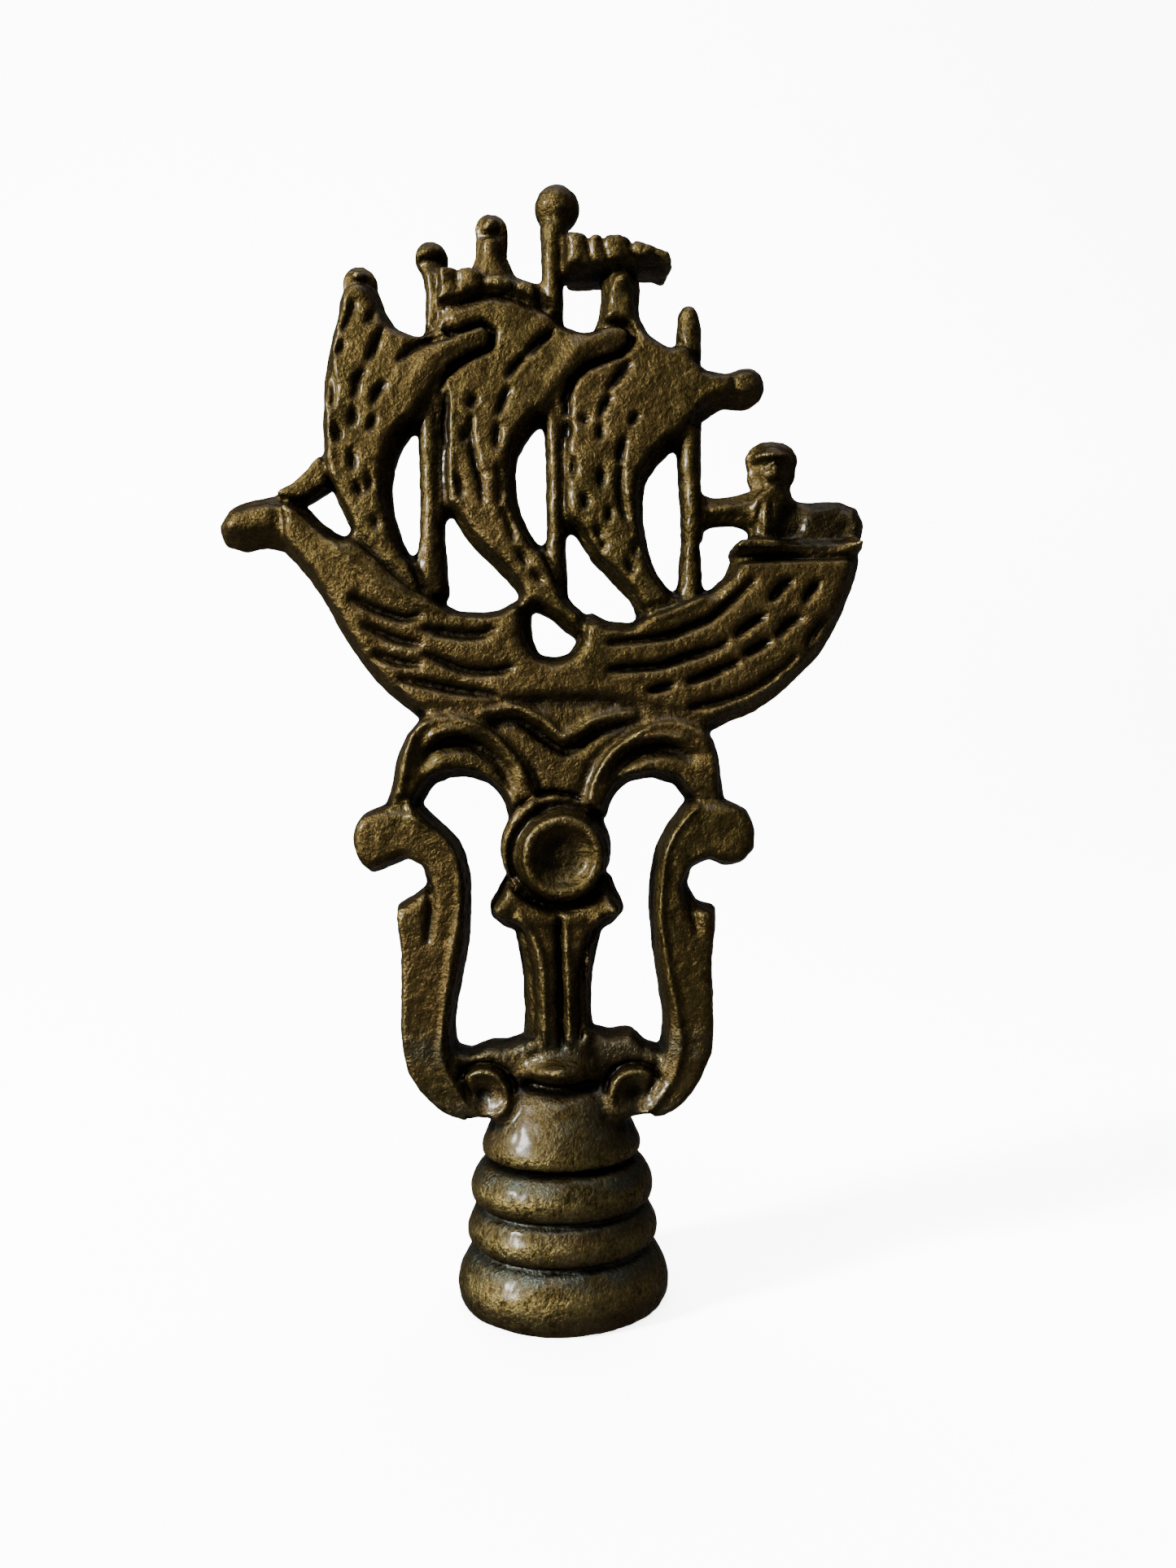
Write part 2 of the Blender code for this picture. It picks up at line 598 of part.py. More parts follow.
def member(name, build, material, parent, clear_of=(), cuts=()):
    """One sub-part: its solids joined, and the room of its neighbours cut from them."""
    first, *rest = build(0.0)
    obj = solid(name, first)
    obj.parent = parent
    obj.data.materials.append(material)
    for k, bm in enumerate(rest):
        combine(obj, helper(f"{name} join {k}", bm), "UNION")
    for other in clear_of:
        for k, bm in enumerate(other(GAP)):
            combine(obj, helper(f"{name} room {other.__name__} {k}", bm), "DIFFERENCE")
    for k, bm in enumerate(cuts):
        combine(obj, helper(f"{name} cut {k}", bm), "DIFFERENCE")
    obj.data.shade_smooth()
    obj.data.set_sharp_from_angle(angle=math.radians(35))
    return obj


def main():
    for obj in list(bpy.data.objects):
        bpy.data.objects.remove(obj)
    finial = bpy.data.objects.new("finial", None)
    bpy.context.scene.collection.objects.link(finial)
    cast = brass("cast brass", (0.055, 0.038, 0.016), 0.42)
    turned_brass = brass("turned brass", (0.075, 0.052, 0.021), 0.34)

    member("base_socket", socket, turned_brass, finial, cuts=[bore_cutter(), thread_cutter()])
    member("neck", neck, turned_brass, finial, cuts=[bore_cutter()])
    member("left_volute", left_volute, cast, finial, [neck])
    member("right_volute", right_volute, cast, finial, [neck])
    member("foot_knob", foot_knob, cast, finial, [neck])
    member("left_scroll_arm", left_arm, cast, finial, [neck, left_volute])
    member("right_scroll_arm", right_arm, cast, finial, [neck, right_volute])
    around_foot = [neck, left_volute, right_volute, foot_knob, left_arm, right_arm]
    member("foot_web", foot_web, cast, finial, around_foot)
    member("fluted_stem", stem, cast, finial, [foot_knob, foot_web])
    member("boss_cup", cup, cast, finial, cuts=recess(BOSS_DISH, CUP_CENTRE, SIDES))
    member("stem_collar", collar, cast, finial, [cup, stem])
    member("left_arch", left_arch, cast, finial, [cup, left_arm])
    member("right_arch", right_arch, cast, finial, [cup, right_arm])
    member("pediment", pediment, cast, finial, [cup, left_arch, right_arch])
    member("hull", hull, cast, finial, [left_arch, right_arch, pediment, prow_knob])
    member("prow_knob", prow_knob, cast, finial)
    member("forestay", forestay, cast, finial, [hull, prow_knob, fore_sail])
    member("stern_rail", stern_rail, cast, finial, [hull])
    windows = recess(CASTLE_WINDOW, WINDOW_PLACE, SPAR_SIDES)
    member("stern_castle", stern_castle, cast, finial, [stern_rail], windows)
    member("fore_mast", fore_mast, cast, finial, [hull])
    member("main_mast", main_mast, cast, finial, [hull])
    member("mizzen_mast", mizzen_mast, cast, finial, [mizzen_stub])
    member("mizzen_mast_stub", mizzen_stub, cast, finial, [hull])
    member("fore_sail", fore_sail, cast, finial, [fore_mast, hull])
    member("main_sail", main_sail, cast, finial, [main_mast, fore_mast, hull, fore_sail])
    member("main_pennant", main_pennant, cast, finial, [main_mast])
    member(
        "mizzen_sail",
        mizzen_sail,
        cast,
        finial,
        [main_mast, mizzen_mast, mizzen_stub, main_sail, main_pennant, hull],
    )
    member("fore_pennant", fore_pennant, cast, finial, [fore_mast, main_sail, fore_sail])
    member("helmsman", helmsman, cast, finial, [stern_rail, stern_castle, mizzen_mast])


main()
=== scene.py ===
"""The finished look of the ship finial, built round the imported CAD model.

Every CAD node becomes a distance field on one fine grid. The fields are fused
into one casting with soft fillets, the relief is cut and raised on both faces,
and each node's own stretch of the fused surface is taken back out as a closed
piece that stands for that node. Lengths are millimetres until a mesh is made.
"""

import math

import bpy
import numpy as np
import openvdb as vdb
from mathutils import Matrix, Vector


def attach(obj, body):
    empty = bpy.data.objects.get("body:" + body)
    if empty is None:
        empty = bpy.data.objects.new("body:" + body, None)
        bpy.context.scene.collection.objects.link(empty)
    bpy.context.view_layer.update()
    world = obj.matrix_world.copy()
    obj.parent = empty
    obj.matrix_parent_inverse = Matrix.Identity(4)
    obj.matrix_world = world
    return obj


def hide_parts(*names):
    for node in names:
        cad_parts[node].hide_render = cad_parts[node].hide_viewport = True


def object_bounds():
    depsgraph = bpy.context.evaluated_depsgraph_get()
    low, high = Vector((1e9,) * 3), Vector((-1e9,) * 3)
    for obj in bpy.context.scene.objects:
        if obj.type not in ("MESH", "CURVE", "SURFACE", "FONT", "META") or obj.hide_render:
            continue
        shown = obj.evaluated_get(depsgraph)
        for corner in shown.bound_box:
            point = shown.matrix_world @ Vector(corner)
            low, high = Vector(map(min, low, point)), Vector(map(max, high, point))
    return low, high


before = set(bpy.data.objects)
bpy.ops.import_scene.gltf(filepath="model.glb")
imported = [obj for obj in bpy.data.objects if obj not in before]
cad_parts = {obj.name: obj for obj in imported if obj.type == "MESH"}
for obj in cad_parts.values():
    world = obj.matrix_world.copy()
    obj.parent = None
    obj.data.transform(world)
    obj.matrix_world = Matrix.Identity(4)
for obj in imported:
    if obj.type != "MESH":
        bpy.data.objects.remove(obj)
cad_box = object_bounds()

MM = 0.001  # one millimetre in metres
VOXEL = 0.14  # the grid's step
BAND = 1.3  # distances further than this from a surface aren't kept
MARGIN = 1.6  # room on the grid round the CAD box
HEAL = 0.035  # how much each node grows, to close the gaps between nodes
DEEPEST = 1.25  # no hollow of the relief goes further in than this
FACE_DEPTH = 1.5  # depth of the slice that says which node a point of a face is on
SEAM = 0.16  # how far a piece runs on under its neighbour
SEAM_SINK = 0.03  # and how far it sinks there
CLOSING = 1.15  # radius of the widest groove between members that the metal fills
BRIDGE = 0.4  # radius of the widest slit between members that the metal closes
FILL_SINK = 0.03  # how far the filled metal stays below the members' faces
SIDE_SINK = 0.12  # how far it stays inside the outline
BRACKET_TOP = 37.0
SAIL_SINK = 0.22  # takes the place of FILL_SINK above BRACKET_TOP
FOOT_TOP = 11.2  # the turned foot below this height takes no relief
WALL_START = 3.5  # the bore and its thread stay inside this radius
WALL_BLEND = 0.3  # over what width the round foot takes over from the facets
BORE_END = 11.4  # the bore's tip ends below this height
BELL_REACH = 2.2  # the bell that a field is averaged by ends at this many radii
FILLET = 0.13  # radius of the bell that softens every corner of the casting
FILL_BLUR = 0.15  # and of the one that softens the filled grooves
FILL_SLOPE = 0.15  # how much the filled metal draws in towards the faces

LOW = np.floor((np.array(cad_box[0]) / MM - MARGIN) / VOXEL).astype(int)
HIGH = np.ceil((np.array(cad_box[1]) / MM + MARGIN) / VOXEL).astype(int)
XS, YS, ZS = (np.arange(LOW[i], HIGH[i] + 1) * VOXEL for i in range(3))
NODES = sorted(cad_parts)
TURNED = ("base_socket", "neck")
TURNED_SKIN = 0.6  # how rough the turned foot is beside the casting


# ---------------------------------------------------------------- fields


def window(low, high):
    """The grid's slices for a box in millimetres."""
    start = np.maximum(np.floor(np.asarray(low) / VOXEL).astype(int), LOW) - LOW
    stop = np.minimum(np.ceil(np.asarray(high) / VOXEL).astype(int), HIGH) + 1 - LOW
    return tuple(slice(a, b) for a, b in zip(start, stop))


def node_field(name):
    """A node's window on the grid and its distance field there, negative inside."""
    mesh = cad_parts[name].data
    mesh.calc_loop_triangles()
    points = np.empty(len(mesh.vertices) * 3, np.float32)
    mesh.vertices.foreach_get("co", points)
    points = points.reshape(-1, 3) / MM
    triangles = np.empty(len(mesh.loop_triangles) * 3, np.int32)
    mesh.loop_triangles.foreach_get("vertices", triangles)
    level = vdb.FloatGrid.createLevelSetFromPolygons(
        points.astype(np.float32),
        triangles=triangles.reshape(-1, 3).astype(np.uint32),
        transform=vdb.createLinearTransform(voxelSize=VOXEL),
        halfWidth=BAND / VOXEL,
    )
    part = window(points.min(0) - BAND, points.max(0) + BAND)
    field = np.empty([s.stop - s.start for s in part], np.float32)
    level.copyToArray(field, ijk=tuple(int(s.start + LOW[i]) for i, s in enumerate(part)))
    return part, np.clip(field, -BAND, BAND)


def rounded(part, field):
    """A turned node's field made truly round, outside the bore and its thread."""
    across = np.hypot(XS[part[0]][:, None], YS[part[1]][None, :])
    row = field[:, int(np.argmin(abs(YS[part[1]]))), :]
    place = np.clip((across - XS[part[0]][0]) / VOXEL, 0, len(row) - 2)
    base = place.astype(int)
    share = (place - base)[:, :, None]
    spun = row[base] * (1.0 - share) + row[base + 1] * share
    outside = smooth_step((across - WALL_START) / WALL_BLEND)[:, :, None]
    outside = np.maximum(outside, (ZS[part[2]] > BORE_END)[None, None, :])
    return (field * (1.0 - outside) + spun * outside).astype(np.float32)


def smooth_step(value):
    t = np.clip(value, 0.0, 1.0)
    return t * t * (3.0 - 2.0 * t)


def blur(field, radius):
    """The field averaged by a bell of this radius in millimetres along each axis."""
    reach = max(1, int(round(BELL_REACH * radius / VOXEL)))
    steps = np.arange(-reach, reach + 1)
    weights = np.exp(-0.5 * (steps * VOXEL / radius) ** 2)
    weights /= weights.sum()
    for axis in range(field.ndim):
        total = np.zeros_like(field)
        size = field.shape[axis]
        padding = [(reach, reach) if k == axis else (0, 0) for k in range(field.ndim)]
        padded = np.pad(field, padding, mode="edge")
        for step, weight in zip(steps, weights):
            cut = [slice(None)] * field.ndim
            cut[axis] = slice(reach + step, reach + step + size)
            total += np.float32(weight) * padded[tuple(cut)]
        field = total
    return field


# ---------------------------------------------------------------- relief

BLOB_REACH = 1.6  # a blob ends this many widths from its middle
BLOB_SPREAD = 0.6  # and falls to a third of its height at this many
STROKE_STEP = 0.22  # distance between a stroke's blobs, in widths
STROKE_START = 0.06  # a stroke swells as half a wave does, from this share of it on
NARROWEST = 0.55  # however far it tapers, it keeps this share of its width


class Relief:
    """A height map over (x, z): how far both faces stand out from the CAD's."""

    def __init__(self):
        self.raised = np.zeros((len(XS), len(ZS)), np.float32)
        self.cut = np.zeros_like(self.raised)

    def patch(self, x, z, reach):
        return window((x - reach, YS[0], z - reach), (x + reach, YS[0], z + reach))[::2]

    def blob(self, layer, x, z, width, height):
        part = self.patch(x, z, BLOB_REACH * width)
        away = (XS[part[0], None] - x) ** 2 + (ZS[None, part[1]] - z) ** 2
        bump = height * np.exp(-away / (BLOB_SPREAD * width) ** 2)
        layer[part] = np.maximum(layer[part], bump)

    def stroke(self, layer, path, width, height, taper):
        """A line of blobs along a smooth path, thinner at its ends."""
        points = curve_through(path, width * STROKE_STEP)
        last = max(len(points) - 1, 1)
        for k, (x, z) in enumerate(points):
            along = STROKE_START + (1.0 - 2.0 * STROKE_START) * k / last
            swell = math.sin(math.pi * along) ** (0.5 * taper)
            share = NARROWEST + (1.0 - NARROWEST) * swell
            self.blob(layer, x, z, width * share, height * swell)

    def height(self):
        return self.raised - np.minimum(self.cut, DEEPEST)


def curve_through(path, step):
    """Points about a step apart on a Catmull-Rom curve through an open path."""
    places = [Vector(p) for p in path]
    places = [2 * places[0] - places[1], *places, 2 * places[-1] - places[-2]]
    found = []
    for a, b, c, d in zip(places, places[1:], places[2:], places[3:]):
        count = max(1, int((c - b).length / step))
        for k in range(count):
            t = k / count
            point = (
                2 * b + (c - a) * t + (2 * a - 5 * b + 4 * c - d) * t**2
                + (3 * b - a - 3 * c + d) * t**3
            ) * 0.5  # fmt: skip
            found.append(tuple(point))
    found.append(tuple(places[-2]))
    return found


# ---------------------------------------------------------------- the casting

# The strokes of the relief: paths of (x, z) in millimetres, on both faces.
PLANKS_STERN = [
    [(3.5, 39.7), (5.5, 39.9), (7.0, 40.1), (8.3, 40.6), (9.5, 41.1), (10.5, 41.9), (12.0, 43.2)],
    [(3.5, 38.1), (5.0, 38.2), (6.5, 38.3), (8.0, 38.8), (9.5, 39.2), (10.4, 39.6)],
    [(11.1, 40.1), (12.0, 40.8), (12.6, 41.1)],
    [(13.2, 42.2), (13.8, 42.9), (14.3, 43.2)],
    [(5.8, 36.8), (7.1, 37.1)],
    [(8.2, 37.3), (9.5, 37.8), (10.2, 38.1), (11.0, 38.4)],
    [(11.6, 38.9), (12.3, 39.3), (12.9, 39.6)],
    [(13.5, 40.0), (14.2, 40.7), (14.8, 41.0)],
    [(15.2, 42.0), (15.5, 42.6), (15.9, 43.0)],
    [(8.3, 35.8), (9.5, 36.0), (11.0, 36.4), (12.3, 37.0), (13.5, 37.8), (14.5, 38.7)],
    [(15.3, 39.4), (15.7, 40.1), (16.4, 41.0)],
]
PLANKS_BOW = [
    [(-11.8, 42.6), (-10.5, 41.9), (-9.0, 41.4), (-8.0, 41.5)],
    [(-7.5, 40.7), (-6.0, 40.4), (-4.5, 40.3), (-3.6, 40.6)],
    [(-11.0, 40.9), (-9.5, 40.2), (-8.0, 39.8)],
    [(-7.5, 39.2), (-6.0, 38.5), (-5.0, 38.2), (-3.5, 38.1), (-2.5, 38.3)],
    [(-10.5, 39.2), (-9.3, 38.8), (-8.0, 38.6)],
    [(-9.0, 37.7), (-7.5, 37.4), (-5.5, 37.0), (-3.5, 36.7)],
]
FORE_FOLDS = [
    [(-11.6, 60.4), (-11.8, 59.8), (-12.2, 58.8)],
    [(-10.5, 59.8), (-10.7, 59.2)],
    [(-12.3, 58.0), (-12.6, 57.3)],
    [(-13.0, 57.2), (-13.05, 56.2), (-12.95, 55.0), (-13.0, 54.2)],
    [(-9.9, 58.7), (-10.2, 58.2), (-10.7, 57.0)],
    [(-5.6, 58.3), (-7.2, 58.1), (-8.2, 57.5), (-8.9, 56.9)],
    [(-11.1, 56.3), (-11.5, 55.8), (-11.6, 54.8)],
    [(-9.9, 55.5), (-10.3, 55.0), (-10.5, 54.3)],
    [(-11.7, 54.0), (-11.8, 53.1)],
    [(-10.5, 53.5), (-10.7, 52.8)],
    [(-11.9, 51.5), (-11.8, 50.4)],
    [(-10.85, 50.0), (-10.85, 49.1)],
    [(-11.6, 49.5), (-11.4, 48.9)],
    [(-10.6, 47.5), (-10.4, 46.9)],
    [(-12.8, 53.0), (-12.7, 52.2)],
]
MAIN_FOLDS = [
    [(0.3, 58.5), (-0.5, 57.9), (-1.2, 57.2)],
    [(-1.4, 57.0), (-2.0, 56.4), (-2.4, 55.8)],
    [(-2.4, 55.0), (-2.8, 54.2), (-2.95, 53.6)],
    [(-4.4, 54.6), (-4.7, 54.1)],
    [(-4.65, 53.4), (-4.75, 52.4), (-4.6, 51.4), (-4.4, 50.4), (-4.15, 49.4), (-4.05, 48.4)],
    [(-3.1, 52.9), (-3.15, 51.6)],
    [(-3.1, 50.4), (-3.0, 49.3), (-3.05, 48.2)],
    [(-2.85, 47.9), (-2.5, 47.1), (-2.2, 46.0)],
    [(-6.15, 54.8), (-6.25, 53.4), (-6.2, 51.9)],
    [(-5.55, 49.9), (-5.3, 48.8)],
    [(-1.9, 45.3), (-1.5, 44.6)],
    [(-1.0, 44.0), (-0.6, 43.5)],
    [(-5.0, 52.6), (-5.05, 52.0)],
]
MIZZEN_FOLDS = [
    [(1.4, 55.5), (1.2, 54.6), (1.15, 53.6)],
    [(1.15, 53.1), (1.15, 52.3)],
    [(4.9, 56.5), (4.3, 55.8), (3.7, 55.0)],
    [(3.7, 54.5), (3.3, 53.9), (3.15, 53.4)],
    [(5.3, 53.4), (4.95, 52.9)],
    [(3.1, 52.7), (3.1, 52.0)],
    [(4.5, 51.9), (4.3, 51.2), (4.25, 50.6)],
    [(4.3, 50.2), (4.2, 49.2), (4.3, 48.2), (4.6, 47.2), (4.8, 46.8)],
    [(1.45, 50.8), (1.45, 49.8)],
    [(3.1, 50.1), (3.1, 49.2)],
    [(2.1, 48.6), (2.1, 47.9)],
    [(3.55, 47.8), (3.5, 47.1)],
    [(2.8, 46.6), (3.0, 46.1)],
    [(3.1, 45.9), (3.2, 45.4)],
    [(5.0, 45.7), (5.1, 45.0)],
    [(4.6, 44.6), (4.9, 44.0)],
    [(2.0, 53.3), (2.3, 53.0)],
]
ARM_EDGES = [
    [(-8.7, 30.2), (-8.4, 29.4), (-7.5, 28.8), (-6.7, 28.2), (-6.1, 27.4), (-5.8, 26.5),
     (-5.7, 25.0), (-5.8, 23.5), (-6.0, 22.5), (-6.3, 21.0), (-6.6, 19.0), (-6.85, 17.0),
     (-7.0, 15.5), (-6.7, 14.5), (-6.2, 13.4), (-5.5, 12.3), (-4.6, 11.7), (-3.8, 11.9)],
    [(8.5, 29.8), (7.9, 29.3), (7.2, 28.4), (6.7, 27.4), (6.4, 26.0), (6.25, 24.5),
     (6.2, 23.0), (6.4, 21.5), (6.6, 20.0), (6.9, 18.5), (7.15, 17.0), (7.25, 15.5),
     (6.9, 14.0), (6.3, 13.0), (5.5, 12.0), (4.6, 11.6), (3.8, 11.9)],
]  # fmt: skip
LEAF_CREASES = [
    [(-7.7, 26.2), (-7.5, 25.0), (-7.5, 24.0), (-7.6, 23.0), (-7.7, 22.0)],
    [(8.0, 26.0), (7.75, 25.0), (7.9, 24.0), (8.2, 23.2), (8.4, 22.4)],
]
LEAF_EDGES = [
    [(-9.4, 23.5), (-9.2, 22.0), (-9.15, 20.0), (-9.2, 17.0), (-9.1, 15.0), (-8.6, 13.6)],
    [(9.3, 22.8), (9.1, 20.5), (9.15, 17.5), (9.05, 15.0), (8.4, 13.4)],
]
ARCH_RIDGES = [
    [(-9.2, 31.0), (-8.8, 33.0), (-8.3, 34.6), (-7.5, 35.1), (-6.5, 35.3), (-5.5, 35.2),
     (-4.5, 34.8), (-3.5, 34.2), (-2.8, 33.5), (-2.2, 32.8), (-1.8, 32.0), (-1.5, 31.0),
     (-1.4, 30.0)],
    [(2.1, 30.0), (2.2, 31.2), (2.6, 32.0), (3.2, 32.9), (4.0, 33.6), (5.0, 34.2),
     (6.0, 34.7), (7.0, 34.8), (8.0, 34.6), (9.0, 34.1), (9.5, 33.4), (9.6, 32.0)],
]  # fmt: skip
ARCH_HOLLOWS = [
    [(-7.9, 32.6), (-7.3, 33.5), (-6.2, 33.9), (-5.0, 33.8), (-3.9, 33.2), (-3.1, 32.3),
     (-2.6, 31.2)],
    [(3.3, 31.4), (3.9, 32.3), (4.8, 33.0), (6.0, 33.3), (7.2, 33.2), (8.2, 32.8)],
]  # fmt: skip
ARCH_LEAVES = [
    [(-7.7, 33.4), (-7.2, 34.2), (-6.5, 34.6), (-5.6, 34.6), (-4.8, 34.3)],
    [(5.0, 33.9), (6.2, 34.1), (7.5, 33.9), (8.4, 33.3)],
]
WAVE = [(-4.3, 35.6), (-3.2, 35.9), (-2.2, 35.9), (-0.8, 35.2), (0.1, 34.5), (0.6, 34.1),
        (1.5, 34.5), (2.7, 35.15), (4.8, 35.4)]  # fmt: skip
WAVE_SHADE = [(-3.6, 35.0), (-2.2, 35.1), (-1.1, 34.4), (0.0, 33.6), (0.7, 33.3), (1.6, 33.7),
              (2.8, 34.4), (4.2, 34.8)]  # fmt: skip
FLUTES = [
    [(0.15, 23.3), (0.15, 21.0), (0.15, 18.0), (0.2, 15.8)],
    [(-2.9, 23.2), (-2.0, 22.2), (-1.5, 20.0), (-1.4, 16.2)],
    [(3.0, 23.2), (2.1, 22.3), (1.35, 20.0), (1.25, 16.2)],
]
FLUTE_RIDGES = [
    [(-2.2, 23.4), (-1.3, 22.0), (-0.85, 20.0), (-0.8, 16.0)],
    [(0.5, 22.8), (0.6, 20.0), (0.65, 16.0)],
    [(2.5, 23.4), (1.9, 21.6), (1.8, 19.0), (1.75, 16.2)],
]
COLLAR_SHADE = [(-2.6, 25.3), (-1.4, 24.3), (0.0, 23.7), (1.5, 24.2), (2.8, 25.2)]
KNOBS = [(-3.5, 23.9), (3.55, 23.8)]
SCROLL_EYES = [(-4.5, 12.8), (4.5, 12.75)]
SCROLLS = [
    [(-5.9, 14.6), (-5.6, 13.4), (-5.0, 12.6), (-4.3, 12.4), (-3.9, 12.9), (-4.2, 13.4)],
    [(5.9, 14.4), (5.5, 13.3), (5.0, 12.5), (4.3, 12.3), (3.9, 12.8), (4.2, 13.3)],
]
SCROLL_RIDGES = [
    [(-5.5, 14.1), (-4.6, 14.4), (-3.6, 14.0), (-3.1, 13.0), (-3.3, 12.1), (-4.1, 11.5)],
    [(5.5, 14.0), (4.6, 14.3), (3.6, 13.9), (3.1, 12.9), (3.3, 12.0), (4.1, 11.4)],
]
FOOT_LIP = [(-1.6, 14.2), (0.0, 14.35), (1.8, 14.2)]

# Steps and shadow lines between the spars, the pennants and the sails.
STEPS = [
    [(-12.5, 61.95), (-10.6, 61.95)],
    [(-7.9, 63.2), (-6.2, 63.2)],
    [(-4.3, 64.75), (-2.5, 64.75)],
    [(11.2, 44.7), (13.0, 44.72), (15.5, 44.72), (18.6, 44.7)],
]
YARDS = [
    [(-8.4, 55.4), (-7.0, 56.9), (-5.6, 57.9), (-4.1, 58.35)],
    [(0.3, 55.6), (1.4, 56.9), (2.9, 57.9), (4.3, 58.15)],
]
KNOB_SHADE = [(-1.9, 13.35), (0.1, 13.15), (2.1, 13.3)]
BOSS_X, BOSS_Z, BOSS_RADIUS, BOSS_STEPS = 0.45, 27.0, 3.0, 24
BOSS_TURNS = [math.tau * k / BOSS_STEPS for k in range(BOSS_STEPS + 1)]
BOSS_RING = [
    (BOSS_X + BOSS_RADIUS * math.cos(turn), BOSS_Z + BOSS_RADIUS * math.sin(turn))
    for turn in BOSS_TURNS
]
TOPMAST_KNOB = (4.5, 61.5)

# The helmsman's cap and face, on plain proportions, and the folds of the coat.
CAP_BRIM = [(12.15, 50.95), (12.8, 50.85), (13.53, 50.82), (14.3, 50.85), (14.95, 50.95)]
BROW = [(12.6, 50.55), (13.53, 50.5), (14.5, 50.55)]
EYES = [(13.05, 50.28), (14.01, 50.28)]
NOSE = [(13.53, 50.35), (13.53, 49.8)]
MOUTH = [(13.22, 49.42), (13.53, 49.38), (13.84, 49.42)]
CHIN = (13.53, 49.02)
COAT_FOLDS = [
    [(12.75, 48.1), (12.6, 47.2), (12.7, 46.3)],
    [(14.25, 48.0), (14.05, 47.2), (14.15, 46.4)],
    [(13.45, 48.2), (13.4, 47.2), (13.45, 46.3)],
]
CASTLE_HOLLOW = [(15.1, 46.7), (16.0, 46.65), (16.9, 46.7)]
FINE_LINES = [
    [(9.2, 55.9), (10.2, 55.9), (11.1, 55.95)],
    [(11.2, 56.3), (11.15, 55.4), (11.3, 54.6)],
    [(-5.3, 62.2), (-5.4, 61.6), (-5.3, 61.0)],
    [(-3.7, 62.0), (-3.8, 61.5), (-3.7, 61.0)],
    [(-2.0, 61.6), (-1.9, 61.0)],
    [(2.6, 64.4), (2.5, 63.6), (2.7, 62.6)],
    [(3.6, 64.5), (3.4, 63.6), (3.7, 62.6)],
    [(5.3, 64.3), (5.1, 63.5), (5.3, 62.8)],
]
FOLD_RIDGES = [
    [(-6.2, 62.4), (-6.2, 61.2)],
    [(-4.5, 62.2), (-4.5, 61.2)],
    [(-2.9, 61.8), (-2.9, 61.0)],
    [(1.9, 64.2), (1.9, 62.6)],
    [(4.4, 64.3), (4.3, 62.8)],
    [(6.2, 63.8), (6.1, 62.9)],
    [(3.3, 59.5), (4.0, 59.4), (4.8, 59.4)],
]
SAIL_RIMS = [
    [(-12.2, 61.4), (-12.3, 60.0), (-12.8, 58.0), (-13.15, 55.3), (-13.25, 52.2),
     (-12.9, 49.9), (-12.3, 48.3)],
    [(-10.4, 61.0), (-9.95, 60.0), (-9.2, 59.1), (-8.2, 58.6)],
    [(-6.4, 60.0), (-6.0, 55.0), (-5.95, 51.0), (-5.9, 48.4)],
]  # fmt: skip
GUNWALE = [
    [(-16.0, 48.2), (-15.0, 47.6), (-14.0, 46.8), (-13.0, 45.8), (-12.0, 44.9), (-11.0, 44.0),
     (-10.0, 43.3), (-9.0, 42.8), (-8.0, 42.3), (-7.0, 42.0), (-6.0, 41.6), (-5.0, 41.4),
     (-4.0, 41.35), (-3.0, 41.5), (-2.3, 41.8)],
    [(2.3, 41.3), (4.0, 40.9), (6.0, 41.1), (8.2, 41.9), (10.2, 43.0), (11.3, 43.9)],
]  # fmt: skip
DIMPLES = [(-11.6, 51.2), (-11.4, 49.1), (-10.4, 47.3), (-6.0, 52.5), (-5.2, 49.5), (3.3, 52.5),
           (3.2, 49.7), (1.6, 50.3), (2.2, 48.2), (3.6, 47.4), (3.1, 46.0), (5.1, 45.3),
           (1.9, 53.1), (4.2, 60.8), (4.7, 60.8)]  # fmt: skip

# The sharp lines cut round the turned foot: (height, half width, depth).
FOOT_GROOVES = [(8.75, 0.2, 0.3), (5.95, 0.22, 0.4), (3.5, 0.22, 0.4)]

# Where hands have rubbed the foot and painted highlight lies on its crests, and where grime has
# settled: (height, half width, amount).
RUBBED_HIGHLIGHT_BANDS = [(9.3, 0.4, 0.9), (7.15, 0.5, 1.0), (4.6, 0.45, 0.9), (1.9, 0.6, 1.0)]
GRIME_BANDS = [
    (8.1, 0.5, 1.0), (5.8, 0.3, 0.5), (3.1, 0.5, 1.0), (11.6, 1.3, 0.5), (15.6, 0.8, 0.8),
    (4.0, 7.0, 0.45),
]  # fmt: skip

# How far each node's face rounds down towards the outline, and over what width.
CROWNS = {
    "hull": (0.4, 1.0),
    "fore_sail": (0.3, 0.7),
    "main_sail": (0.3, 0.7),
    "mizzen_sail": (0.3, 0.7),
    "prow_knob": (0.6, 1.2),
    "left_volute": (0.3, 0.6),
    "right_volute": (0.3, 0.6),
    "stern_castle": (0.3, 0.7),
    "helmsman": (0.3, 0.8),
    "fluted_stem": (0.3, 0.6),
    "stem_collar": (0.35, 0.7),
    "left_arch": (0.25, 0.5),
    "right_arch": (0.25, 0.5),
}

